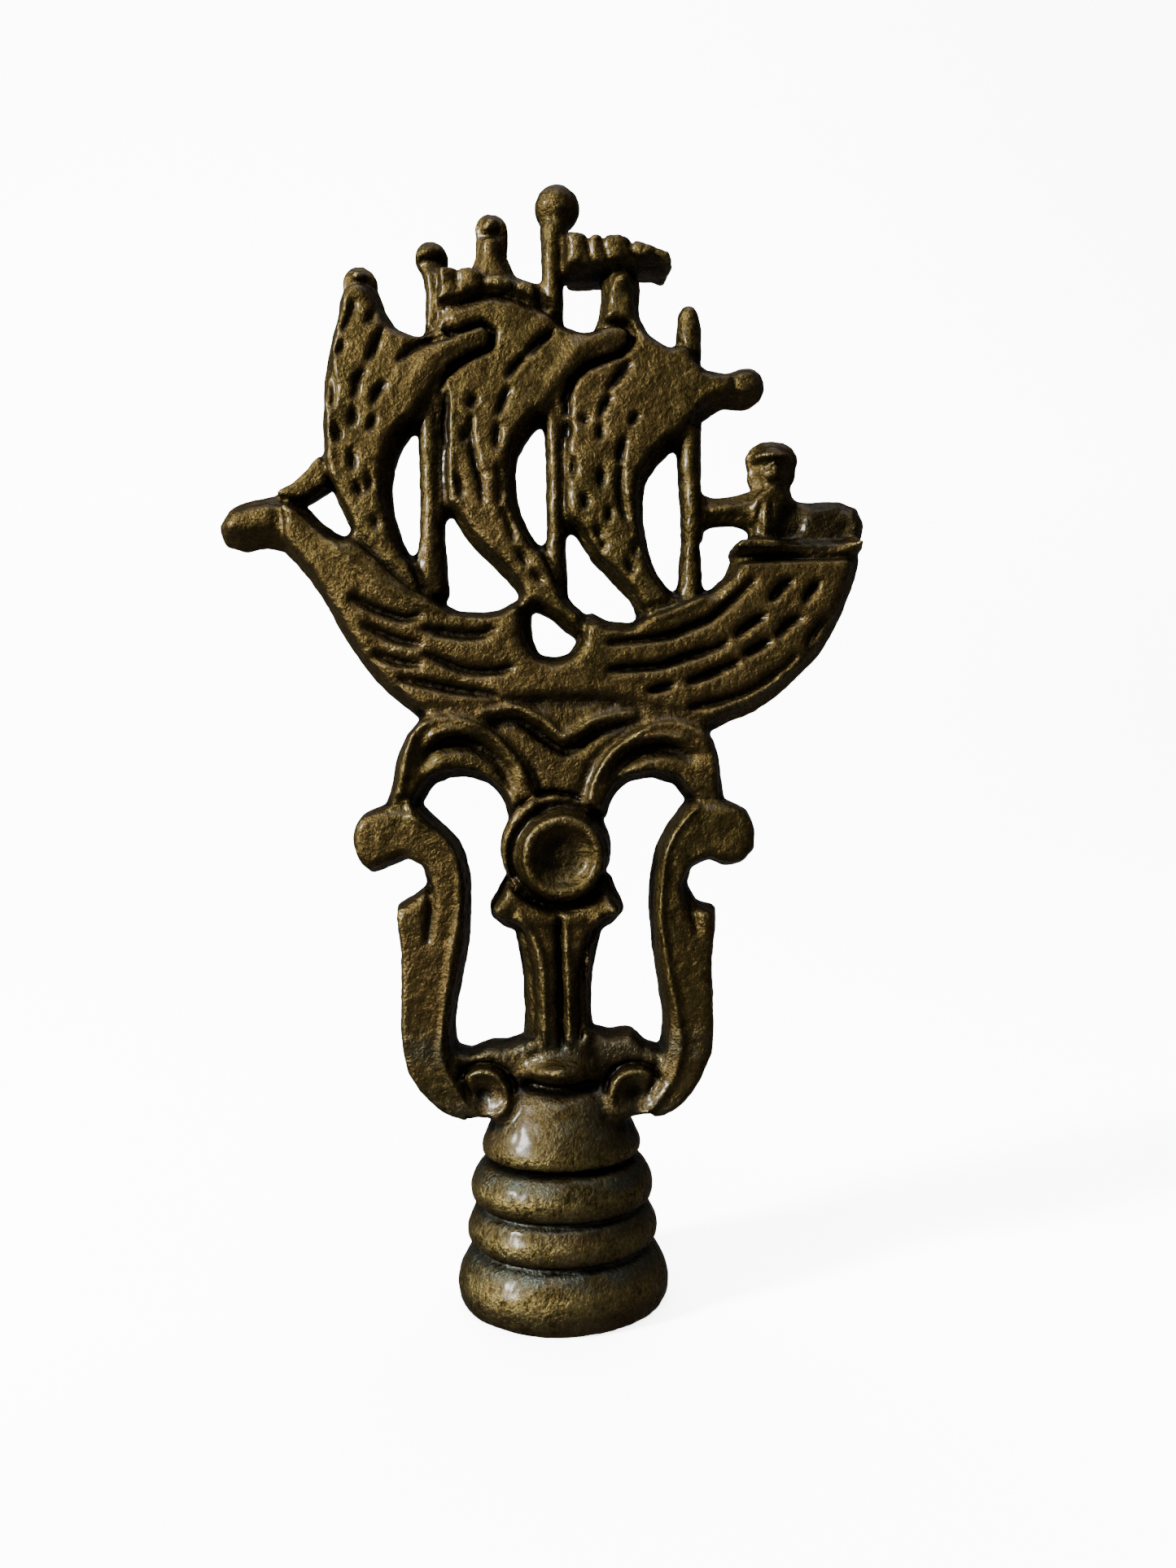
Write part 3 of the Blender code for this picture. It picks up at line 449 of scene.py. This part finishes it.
# Where one member lies over another: (upper, lower, how far the lower sinks, over what width).
OVERLAPS = [
    ("fore_sail", "main_sail", 0.75, 0.8),
    ("main_sail", "mizzen_sail", 0.75, 0.8),
    ("fore_pennant", "main_sail", 0.6, 0.6),
    ("main_pennant", "mizzen_sail", 0.7, 0.7),
    ("stern_rail", "hull", 0.4, 0.4),
    ("boss_cup", "stem_collar", 0.6, 0.5),
    ("boss_cup", "pediment", 0.5, 0.5),
    ("boss_cup", "left_arch", 0.5, 0.5),
    ("boss_cup", "right_arch", 0.5, 0.5),
    ("left_volute", "foot_web", 0.7, 0.6),
    ("right_volute", "foot_web", 0.7, 0.6),
    ("left_scroll_arm", "left_arch", 0.4, 0.5),
    ("right_scroll_arm", "right_arch", 0.4, 0.5),
    ("main_mast", "main_pennant", 0.5, 0.4),
    ("fore_mast", "fore_pennant", 0.35, 0.35),
]


# How each set of paths is cut, its depth also setting its painted shade: (paths, width, depth,
# how much the ends taper).
GROOVES = [
    (PLANKS_STERN, 0.4, 0.6, 0.5),
    (PLANKS_BOW, 0.5, 0.55, 0.5),
    (FORE_FOLDS + MAIN_FOLDS + MIZZEN_FOLDS, 0.38, 0.42, 0.6),
    (LEAF_CREASES, 0.5, 0.42, 1.0),
    (ARCH_HOLLOWS, 0.85, 0.75, 1.0),
    ([WAVE_SHADE], 0.6, 0.5, 1.0),
    (FLUTES, 0.42, 0.55, 0.3),
    ([COLLAR_SHADE], 0.4, 0.45, 1.0),
    (SCROLLS, 0.42, 0.5, 1.0),
    ([KNOB_SHADE], 0.5, 0.7, 0.5),
    ([BOSS_RING], 0.6, 0.6, 0.0),
    (STEPS, 0.4, 0.5, 0.3),
    ([BROW], 0.34, 0.3, 1.0),
    ([MOUTH], 0.24, 0.28, 1.0),
    (COAT_FOLDS, 0.34, 0.35, 1.0),
    # the deepest of all, for the darkest painted shade as well as its cut
    ([CASTLE_HOLLOW], 2.0, 3.0, 0.2),
    (FINE_LINES, 0.32, 0.28, 1.0),
]
# And how each is raised: (paths, width, height, how much the ends taper).
RIDGES = [
    (ARM_EDGES, 0.3, 0.28, 0.3),
    (LEAF_EDGES + SAIL_RIMS, 0.38, 0.16, 1.0),
    (FOLD_RIDGES, 0.4, 0.12, 1.0),
    (GUNWALE, 0.42, 0.2, 0.4),
    (ARCH_RIDGES, 0.5, 0.32, 0.3),
    (ARCH_LEAVES, 0.42, 0.4, 1.0),
    ([WAVE], 0.5, 0.45, 1.0),
    (FLUTE_RIDGES, 0.4, 0.32, 0.3),
    (SCROLL_RIDGES, 0.5, 0.4, 1.0),
    ([FOOT_LIP], 1.15, 1.1, 1.0),
    (YARDS, 0.95, 0.25, 1.0),
    ([CAP_BRIM], 0.34, 0.3, 0.3),
    ([NOSE], 0.32, 0.32, 0.3),
]
# Single hollows and single bosses: (places, width, depth or height).
HOLLOWS = [(SCROLL_EYES, 1.2, 0.8), (EYES, 0.36, 0.3), (DIMPLES, 0.4, 0.12)]
BOSSES = [(KNOBS, 0.8, 0.45), ([CHIN], 0.45, 0.12), ([TOPMAST_KNOB], 0.6, 0.35)]

EDGE_FADE = 0.5  # the relief fades out over this distance from the outline
CROWN_START = 0.35  # a crown is at its lowest within this distance of the outline
UNDERLAP = 0.1  # a lower member starts to rise this far inside the upper one's edge
OVERLAP_SHADOW = 0.8  # how dark the painted shadow along an overlap's edge is, by its drop
# how far the relief's height and its painted shade are each softened
RELIEF_BLUR, SHADE_BLUR = 0.07, 0.1


def draw_relief(slices, outline):
    """The relief's height over (x, z) for both faces, and a map of the painted shade in its
    grooves and under its overlaps.
    """
    relief = Relief()
    for layer, strokes in ((relief.cut, GROOVES), (relief.raised, RIDGES)):
        for paths, width, height, taper in strokes:
            for path in paths:
                relief.stroke(layer, path, width, height, taper)
    for layer, spots in ((relief.cut, HOLLOWS), (relief.raised, BOSSES)):
        for places, width, height in spots:
            for x, z in places:
                relief.blob(layer, x, z, width, height)
    # the groove depths, kept as painted shade for the colour
    pits = relief.cut.copy()
    height = relief.height() * smooth_step(-outline / EDGE_FADE)
    owner = np.argmin(np.stack([slices[name] for name in NODES]), axis=0)
    for upper, lower, drop, width in OVERLAPS:
        under = drop * (1.0 - smooth_step((slices[upper] + UNDERLAP) / width))
        under = under * (owner == NODES.index(lower))
        height -= under
        # painted shadow along the upper member's edge
        pits = np.maximum(pits, OVERLAP_SHADOW * under)
    for name, (drop, width) in CROWNS.items():
        rim = 1.0 - smooth_step((-outline - CROWN_START) / width)
        height -= drop * rim * rim * (owner == NODES.index(name))
    height[:, ZS < FOOT_TOP] = 0.0
    return blur(height, RELIEF_BLUR), blur(pits, SHADE_BLUR)


def spread_highest(heights, radius):
    """Each value replaced by the highest within a radius in millimetres."""
    reach = int(radius / VOXEL)
    padded = np.pad(heights, reach, mode="edge")
    found = heights.copy()
    for i in range(-reach, reach + 1):
        for k in range(-reach, reach + 1):
            if i * i + k * k > reach * reach:
                continue
            moved = padded[reach + i :, reach + k :][: heights.shape[0], : heights.shape[1]]
            np.maximum(found, moved, out=found)
    return found


def depth_inside(mask):
    """How far each point of a mask is from its edge, up to BAND."""
    reach = int(BAND / VOXEL)
    padded = np.pad(mask, reach, mode="edge")
    nearest = np.full(mask.shape, float(reach * reach), np.float32)
    for i in range(-reach, reach + 1):
        for k in range(-reach, reach + 1):
            away = i * i + k * k
            if away < reach * reach:
                open_there = ~padded[reach + i :, reach + k :][: mask.shape[0], : mask.shape[1]]
                nearest[open_there & (nearest > away)] = away
    return (np.sqrt(nearest) - 0.5) * VOXEL


def fill_grooves(whole):
    """The field with its grooves filled, half the casting's thickness over (x, z), and
    the field at y = 0, which shows how far each place is from the outline."""
    depth = abs(YS)[None, :, None].astype(np.float32)
    thick = np.where(whole < 0.0, depth, 0.0).max(axis=1)
    closed = -spread_highest(-spread_highest(thick, CLOSING), CLOSING)
    closed = blur(np.maximum(closed, thick), FILL_BLUR)
    sink = np.where(ZS < BRACKET_TOP, FILL_SINK, SAIL_SINK)
    filled = closed - sink[None, :].astype(np.float32)
    filled[:, ZS < FOOT_TOP] = -BAND
    middle = whole[:, int(np.argmin(abs(YS))), :]
    middle = np.minimum(middle, spread_highest(-spread_highest(-middle, BRIDGE), BRIDGE))
    middle = np.where(middle < 0.0, -depth_inside(middle < 0.0), middle)
    side = middle[:, None, :] + SIDE_SINK + FILL_SLOPE * depth
    return np.minimum(whole, np.maximum(side, depth - filled[:, None, :])), closed, middle


def ring_grooves():
    """The sharp lines round the turned foot, by height."""
    cut = np.zeros(len(ZS), np.float32)
    for z, width, depth in FOOT_GROOVES:
        cut += depth * np.exp(-(((ZS - z) / width) ** 2))
    return cut


THINNEST_HALF = 0.8  # no place counts as less than this from y = 0 to its face
CORE_SHARE = 0.35  # the relief leaves this share of the thickness alone
FACE_SHARE = 0.4  # and has its full height this much further out


def fused_field():
    """The whole casting's field, each node's own, the two nearest at each point, and the painted
    shade in the relief."""
    shape = (len(XS), len(YS), len(ZS))
    nearest = np.full(shape, BAND, np.float32)
    second = np.full(shape, BAND, np.float32)
    fields, slices = {}, {}
    face = int(np.argmin(abs(YS + FACE_DEPTH)))
    for name in NODES:
        part, field = node_field(name)
        if name in TURNED:
            field = rounded(part, field)
        field -= HEAL
        fields[name] = (part, field)
        beaten = np.maximum(nearest[part], field)
        nearest[part] = np.minimum(nearest[part], field)
        second[part] = np.minimum(second[part], beaten)
        level = np.full((len(XS), len(ZS)), BAND, np.float32)
        level[part[0], part[2]] = field[:, face - part[1].start, :]
        slices[name] = level
    whole, thick, outline = fill_grooves(nearest)
    whole = blur(whole, FILLET)
    # pits: the painted shade of the grooves and overlaps, for the material
    height, pits = draw_relief(slices, outline)
    share = abs(YS)[None, :, None] / np.maximum(thick, THINNEST_HALF)[:, None, :]
    near_face = smooth_step((share - CORE_SHARE) / FACE_SHARE)
    whole -= height[:, None, :] * near_face.astype(np.float32)
    whole += ring_grooves()[None, None, :]
    return whole, fields, nearest, second, pits


TIE = 1e-6  # distances that differ by less are the same


def own_part(name, whole, fields, nearest, second):
    """A node's stretch of the fused casting, run on a little under its neighbours."""
    part, field = fields[name]
    mine = field <= nearest[part] + TIE
    others = np.where(mine, second[part], nearest[part])
    past = 0.5 * (field - others)
    sunk = whole[part] + SEAM_SINK * smooth_step(past / SEAM)
    return part, np.maximum(sunk, past - SEAM).astype(np.float32)


# ---------------------------------------------------------------- meshes


def sample(field, part, points):
    """The field's value at each point, by trilinear interpolation."""
    start = np.array([s.start for s in part]) + LOW
    place = points / VOXEL - start
    base = np.clip(np.floor(place).astype(int), 0, np.array(field.shape) - 2)
    share = np.clip(place - base, 0.0, 1.0)
    total = np.zeros(len(points))
    for corner in np.ndindex(2, 2, 2):
        weight = np.prod(np.where(corner, share, 1.0 - share), axis=1)
        i, j, k = (base + corner).T
        total += weight * field[i, j, k]
    return total


LATTICE = 64  # the noise repeats after this many cells
OFFSET = 500.0  # cells that keep every place on the lattice positive


def lattice_noise(points, size, seed):
    """Smooth noise between -1 and 1, from random values on a lattice of this size."""
    values = np.random.default_rng(seed).uniform(-1.0, 1.0, (LATTICE,) * 3)
    place = points / size + OFFSET
    base = np.floor(place).astype(int)
    share = place - base
    share = share * share * (3.0 - 2.0 * share)
    total = np.zeros(len(points))
    for corner in np.ndindex(2, 2, 2):
        weight = np.prod(np.where(corner, share, 1.0 - share), axis=1)
        i, j, k = ((base + corner) % LATTICE).T
        total += weight * values[i, j, k]
    return total


SLOPE_STEP = 0.7  # how far to each side a slope is measured, in voxels


def gradient(field, part, points):
    """The outward normal of the field at each point."""
    parts = []
    for axis in range(3):
        step = np.zeros(3)
        step[axis] = VOXEL * SLOPE_STEP
        parts.append(sample(field, part, points + step) - sample(field, part, points - step))
    slope = np.stack(parts, axis=1)
    return slope / np.maximum(np.linalg.norm(slope, axis=1, keepdims=True), 1e-9)


# The casting's skin, as (height, size, seed) of each noise: hollows and sand grain.
SKIN = [(0.04, 1.7, 3), (0.04, 0.8, 4), (0.032, 0.36, 5)]
PIT_DEPTH, PIT_SIZE, PIT_SEED = 0.06, 0.55, 6
PIT_LEVEL = 0.45  # only what rises above this in the noise is a pit


def roughen(points, normals):
    """The points moved along their normals, for the casting's uneven skin."""
    height = sum(amount * lattice_noise(points, size, seed) for amount, size, seed in SKIN)
    pits = np.clip(lattice_noise(points, PIT_SIZE, PIT_SEED) - PIT_LEVEL, 0.0, 1.0)
    return points + normals * (height - PIT_DEPTH * pits)[:, None]


def bands(points, heights):
    """How strongly a ring of rubbing with painted highlight, or of grime, lies on each point of
    the foot.
    """
    total = np.zeros(len(points))
    for z, width, amount in heights:
        total += amount * np.exp(-(((points[:, 2] - z) / width) ** 2))
    return total


def mesh_of(name, field, part, whole, hollows, pits, skin_share):
    """A closed mesh of the field's zero surface, with the values that the material reads on its
    points: near and far hollows, painted shade in the relief's grooves and overlaps, gold rubbing
    with painted highlight, and grime."""
    level = vdb.FloatGrid(BAND)
    level.copyFromArray(
        np.ascontiguousarray(field), ijk=tuple(int(s.start + LOW[i]) for i, s in enumerate(part))
    )
    level.transform = vdb.createLinearTransform(voxelSize=VOXEL)
    level.gridClass = vdb.GridClass.LEVEL_SET
    points, quads = level.convertToQuads(0.0)
    everywhere = window(np.array(cad_box[0]) / MM - MARGIN, np.array(cad_box[1]) / MM + MARGIN)
    normals = gradient(whole, everywhere, points)
    moved = points + (roughen(points, normals) - points) * skin_share
    mesh = bpy.data.meshes.new(name)
    mesh.vertices.add(len(points))
    mesh.vertices.foreach_set("co", (moved * MM).astype(np.float32).ravel())
    mesh.loops.add(len(quads) * 4)
    mesh.loops.foreach_set("vertex_index", quads.astype(np.int32).ravel())
    mesh.polygons.add(len(quads))
    mesh.polygons.foreach_set("loop_start", np.arange(0, 4 * len(quads), 4, dtype=np.int32))
    mesh.polygons.foreach_set("loop_total", np.full(len(quads), 4, np.int32))
    mesh.update(calc_edges=True)
    mesh.validate()
    values = {label: sample(hollow, everywhere, points) for label, hollow in hollows.items()}
    column = np.rint(points[:, ::2] / VOXEL).astype(int) - LOW[::2]
    # painted shade: the relief's groove depths and overlap drops, which darken the colour
    values["relief_shade"] = pits[tuple(np.clip(column, 0, np.array(pits.shape) - 1).T)]
    # rubbing on the foot's crests, with painted highlight where the highlights fall
    values["rubbed_highlight"] = bands(points, RUBBED_HIGHLIGHT_BANDS)
    values["grime"] = bands(points, GRIME_BANDS)
    for label, value in values.items():
        attribute = mesh.attributes.new(label, "FLOAT", "POINT")
        attribute.data.foreach_set("value", value.astype(np.float32))
    mesh.shade_smooth()
    return mesh


NEAR, FAR = 0.3, 0.8  # radii of the bells that tell a hollow from an edge


def hollow_maps(whole):
    """How enclosed each point is, near it and further away: 0.5 on a flat face."""
    filled = np.clip(0.5 - whole / VOXEL, 0.0, 1.0).astype(np.float32)
    near = blur(filled, NEAR)
    return {"near": near, "far": blur(near, FAR)}


def build_pieces(material):
    """One closed piece of the casting for every node."""
    # pits carries the painted shade of the relief to every piece
    whole, fields, nearest, second, pits = fused_field()
    hollows = hollow_maps(whole)
    for name in NODES:
        part, field = own_part(name, whole, fields, nearest, second)
        skin_share = TURNED_SKIN if name in TURNED else 1.0
        mesh = mesh_of(name + " skin", field, part, whole, hollows, pits, skin_share)
        piece = bpy.data.objects.new(name + "_skin", mesh)
        bpy.context.scene.collection.objects.link(piece)
        piece.data.materials.append(material)
        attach(piece, "root")
        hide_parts(name)


# ---------------------------------------------------------------- material


class Nodes:
    """A short way to build a shader: each call adds a node and links its inputs."""

    def __init__(self, tree):
        self.tree = tree

    def add(self, kind, **settings):
        node = self.tree.nodes.new(kind)
        for key, value in settings.items():
            setattr(node, key, value)
        return node

    def put(self, socket, value):
        if isinstance(value, bpy.types.NodeSocket):
            self.tree.links.new(value, socket)
        else:
            socket.default_value = value

    def maths(self, operation, a, b):
        node = self.add("ShaderNodeMath", operation=operation)
        for socket, value in zip(node.inputs, (a, b)):
            self.put(socket, value)
        return node.outputs[0]

    def times(self, a, b):
        return self.maths("MULTIPLY", a, b)

    def add_up(self, a, b):
        return self.maths("ADD", a, b)

    def spread(self, value, low, high, to_low=0.0, to_high=1.0):
        node = self.add("ShaderNodeMapRange", clamp=True)
        for socket, given in zip(node.inputs, (value, low, high, to_low, to_high)):
            self.put(socket, given)
        return node.outputs[0]

    def mix(self, share, a, b):
        node = self.add("ShaderNodeMix", data_type="RGBA")
        for key, value in (("Factor", share), ("A", a), ("B", b)):
            socket = next(s for s in node.inputs if s.name == key and s.enabled)
            self.put(socket, value)
        return next(s for s in node.outputs if s.enabled)

    def noise(self, place, scale, detail, rough):
        node = self.add("ShaderNodeTexNoise")
        self.put(node.inputs["Vector"], place)
        self.put(node.inputs["Scale"], scale)
        self.put(node.inputs["Detail"], detail)
        self.put(node.inputs["Roughness"], rough)
        return node.outputs["Fac"]

    def attribute(self, name):
        return self.add("ShaderNodeAttribute", attribute_name=name).outputs["Fac"]


# The metal's colours, from clean oxide to bare metal, and a near black for painted shade.
DARK_OXIDE = (0.006, 0.0043, 0.001, 1.0)
LIGHT_OXIDE = (0.025, 0.018, 0.0055, 1.0)
BROWN_OXIDE = (0.024, 0.015, 0.005, 1.0)
DULL_BRASS = (0.034, 0.0265, 0.0095, 1.0)
BRIGHT_BRASS = (0.105, 0.083, 0.034, 1.0)
# rubbed gold on the foot's crests, which also stands for painted highlight
RUBBED_HIGHLIGHT_GOLD = (0.13, 0.097, 0.026, 1.0)
# near black, painted as shade into the corners, the grooves and under the overlaps
PAINTED_SHADE = (0.003, 0.0023, 0.001, 1.0)
GRIME = (0.014, 0.0155, 0.012, 1.0)
EDGE_TINT = (0.25, 0.2, 0.15, 1.0)  # how the metal reflects at a grazing angle

# The noises, as (cells in a metre, detail, roughness).
BROAD = (160.0, 3.0, 0.5)
BLOTCH = (900.0, 4.0, 0.65)
GRAIN = (4200.0, 3.0, 0.7)

# Between which two values each share of the colour runs from 0 to 1.
RAISED = (0.44, 0.26)  # of the near hollows: the edges
CORNER_SHADE = (0.49, 0.62)  # of the far hollows: the corners, which take painted shade
RUBBED = (0.72, 1.25)  # of the wear and the speckle together
OXIDE_SPECKLE = (0.46, 0.74)
BROWN_PATCHES = (0.4, 0.65)
BRASS_SPECKLE = (0.45, 0.75)
# of the relief's groove depth, for painted shade
PIT_SHADE = (0.12, 0.7)
RUBBED_HIGHLIGHT_SPECKLE = (0.5, 0.75)
GRIME_BLOTCH = (0.35, 0.65)
SHINE = (0.5, 1.5)

SPECKLE_SHARE = 0.6  # of the blotches and of the grain in the speckle, and of it in the wear
EDGE_WEAR, BROAD_WEAR, BROWN_SHARE = 0.25, 0.5, 0.5

# Most that painted shade, rubbing with painted highlight, and grime each cover.
SHADE_SHARE, RUBBED_HIGHLIGHT_SHARE, GRIME_SHARE = 0.85, 0.4, 0.8
METALLIC, SPECULAR = 0.92, 0.2
COAT, COAT_ROUGHNESS = 0.05, 0.2
DULLEST, SHINIEST = 0.4, 0.2  # roughness of the oxide and of the rubbed brass
BUMP_STRENGTH, BUMP_HEIGHT = 0.8, 0.00025


def aged_brass(name="aged brass"):
    """Dark oxide over brass, rubbed golden on its edges and grey-green in its hollows, with
    painted shade in its corners, grooves and overlaps and painted highlight mixed into the
    rubbing on the foot's crests.
    """
    material = bpy.data.materials.new(name)
    material.use_nodes = True
    tree = material.node_tree
    shader = tree.nodes["Principled BSDF"]
    n = Nodes(tree)
    place = n.add("ShaderNodeTexCoord").outputs["Object"]
    near, far = n.attribute("near"), n.attribute("far")
    broad, blotch, grain = (n.noise(place, *kind) for kind in (BROAD, BLOTCH, GRAIN))
    speckle = n.add_up(n.times(blotch, SPECKLE_SHARE), n.times(grain, SPECKLE_SHARE))
    # painted shade: the far hollows darken towards near black
    sunk = n.spread(far, *CORNER_SHADE)
    wear = n.add_up(n.times(n.spread(near, *RAISED), EDGE_WEAR), n.times(broad, BROAD_WEAR))
    rubbed = n.spread(n.add_up(wear, n.times(speckle, SPECKLE_SHARE)), *RUBBED)
    oxide = n.mix(n.spread(speckle, *OXIDE_SPECKLE), DARK_OXIDE, LIGHT_OXIDE)
    browned = n.mix(BROWN_SHARE, oxide, BROWN_OXIDE)
    oxide = n.mix(n.spread(broad, *BROWN_PATCHES), oxide, browned)
    worn = n.mix(n.spread(speckle, *BRASS_SPECKLE), DULL_BRASS, BRIGHT_BRASS)
    colour = n.mix(rubbed, oxide, worn)
    # painted shade and painted shadow: the grooves and the overlaps' edges darken towards near
    # black too
    groove_shade = n.times(n.spread(n.attribute("relief_shade"), *PIT_SHADE), SHADE_SHARE)
    colour = n.mix(n.maths("MAXIMUM", sunk, groove_shade), colour, PAINTED_SHADE)
    # rubbing with painted highlight: golden bands on the foot's crests
    rubbing_and_highlight = n.times(n.attribute("rubbed_highlight"), n.spread(speckle, *RUBBED_HIGHLIGHT_SPECKLE))
    colour = n.mix(n.times(rubbing_and_highlight, RUBBED_HIGHLIGHT_SHARE), colour, RUBBED_HIGHLIGHT_GOLD)
    settled = n.times(n.attribute("grime"), n.spread(blotch, *GRIME_BLOTCH))
    colour = n.mix(n.times(settled, GRIME_SHARE), colour, GRIME)
    shine = n.spread(n.add_up(rubbed, speckle), *SHINE, DULLEST, SHINIEST)
    bump = n.add("ShaderNodeBump")
    bump.inputs["Strength"].default_value = BUMP_STRENGTH
    bump.inputs["Distance"].default_value = BUMP_HEIGHT
    n.put(bump.inputs["Height"], speckle)
    n.put(shader.inputs["Base Color"], colour)
    n.put(shader.inputs["Roughness"], shine)
    n.put(shader.inputs["Normal"], bump.outputs["Normal"])
    shader.inputs["Metallic"].default_value = METALLIC
    shader.inputs["Coat Weight"].default_value = COAT
    shader.inputs["Coat Roughness"].default_value = COAT_ROUGHNESS
    shader.inputs["Specular IOR Level"].default_value = SPECULAR
    shader.inputs["Specular Tint"].default_value = EDGE_TINT
    return material


# ---------------------------------------------------------------- stage

FOCAL_SHARE = 0.76803  # focal length as a share of the picture's long side
FILM = 36.0  # the long side of the film
CAMERA_PLACE = Vector((1.99, -74.0, 31.28)) * MM
CAMERA_ROLL = math.radians(0.93)

# The floor and the stage round it, in metres.
FLOOR_FRONT = -0.04  # it starts here, so that it doesn't light the finial from the front
SWEEP_START = 0.25  # where it begins to curve up
SWEEP_RADIUS = 0.15
SWEEP_STEPS = 8
WALL_TOP = 1.0
HALF_WIDTH = 1.2
FLOOR_COLOUR = (0.95, 0.95, 0.95)
FLOOR_ROUGHNESS = 0.9
FLOOR_GLOW = 5.0
WORLD_STRENGTH = 0.35

# (name, place, what it points at, diameter, watts), in metres.
MIDDLE = (0.0, 0.0, 0.035)
LIGHTS = [
    ("key", (-0.42, -0.22, 0.22), MIDDLE, 0.09, 24.0),
    ("fill", (-0.06, -0.26, 0.52), MIDDLE, 0.32, 4.0),
    ("back wash", (0.0, 0.15, 0.60), (0.0, 0.35, 0.1), 0.8, 8.0),
]


def floor_material():
    """A matt white that glows a little, so that the floor stays pale."""
    material = bpy.data.materials.new("pale floor")
    material.use_nodes = True
    shader = material.node_tree.nodes["Principled BSDF"]
    shader.inputs["Base Color"].default_value = (*FLOOR_COLOUR, 1.0)
    shader.inputs["Roughness"].default_value = FLOOR_ROUGHNESS
    shader.inputs["Emission Color"].default_value = (*FLOOR_COLOUR, 1.0)
    shader.inputs["Emission Strength"].default_value = FLOOR_GLOW
    return material


def make_floor():
    """A pale floor that sweeps up into a backdrop, and isn't mirrored in the metal."""
    profile = [(FLOOR_FRONT, 0.0), (SWEEP_START, 0.0)]
    for k in range(1, SWEEP_STEPS + 1):
        turn = math.pi / 2 * k / SWEEP_STEPS
        back = SWEEP_START + SWEEP_RADIUS * math.sin(turn)
        profile.append((back, SWEEP_RADIUS - SWEEP_RADIUS * math.cos(turn)))
    profile.append((SWEEP_START + SWEEP_RADIUS, WALL_TOP))
    points = [(x, y, z) for y, z in profile for x in (-HALF_WIDTH, HALF_WIDTH)]
    faces = [(2 * i, 2 * i + 1, 2 * i + 3, 2 * i + 2) for i in range(len(profile) - 1)]
    mesh = bpy.data.meshes.new("floor")
    mesh.from_pydata(points, [], faces)
    mesh.shade_smooth()
    mesh.materials.append(floor_material())
    floor = bpy.data.objects.new("floor", mesh)
    floor.visible_glossy = False
    bpy.context.scene.collection.objects.link(floor)


def make_lights():
    """Three round lamps and an even white sky."""
    for name, place, aim, size, power in LIGHTS:
        light = bpy.data.lights.new(name, "AREA")
        light.shape = "DISK"
        light.size = size
        light.energy = power
        lamp = bpy.data.objects.new(name, light)
        lamp.location = place
        towards = Vector(aim) - Vector(place)
        lamp.rotation_euler = towards.to_track_quat("-Z", "Y").to_euler()
        bpy.context.scene.collection.objects.link(lamp)
    world = bpy.data.worlds.new("studio")
    world.use_nodes = True
    background = world.node_tree.nodes["Background"]
    background.inputs["Color"].default_value = (1, 1, 1, 1)
    background.inputs["Strength"].default_value = WORLD_STRENGTH
    bpy.context.scene.world = world


def make_camera():
    """The camera in front, level and close, rolled a little."""
    data = bpy.data.cameras.new("camera")
    data.sensor_fit = "AUTO"
    data.sensor_width = FILM
    data.lens = FILM * FOCAL_SHARE
    data.clip_start = 0.005
    data.clip_end = 10.0
    camera = bpy.data.objects.new("camera", data)
    camera.location = CAMERA_PLACE
    camera.rotation_euler = (math.pi / 2, CAMERA_ROLL, 0.0)
    bpy.context.scene.collection.objects.link(camera)
    bpy.context.scene.camera = camera


make_camera()
make_floor()
make_lights()
build_pieces(aged_brass())
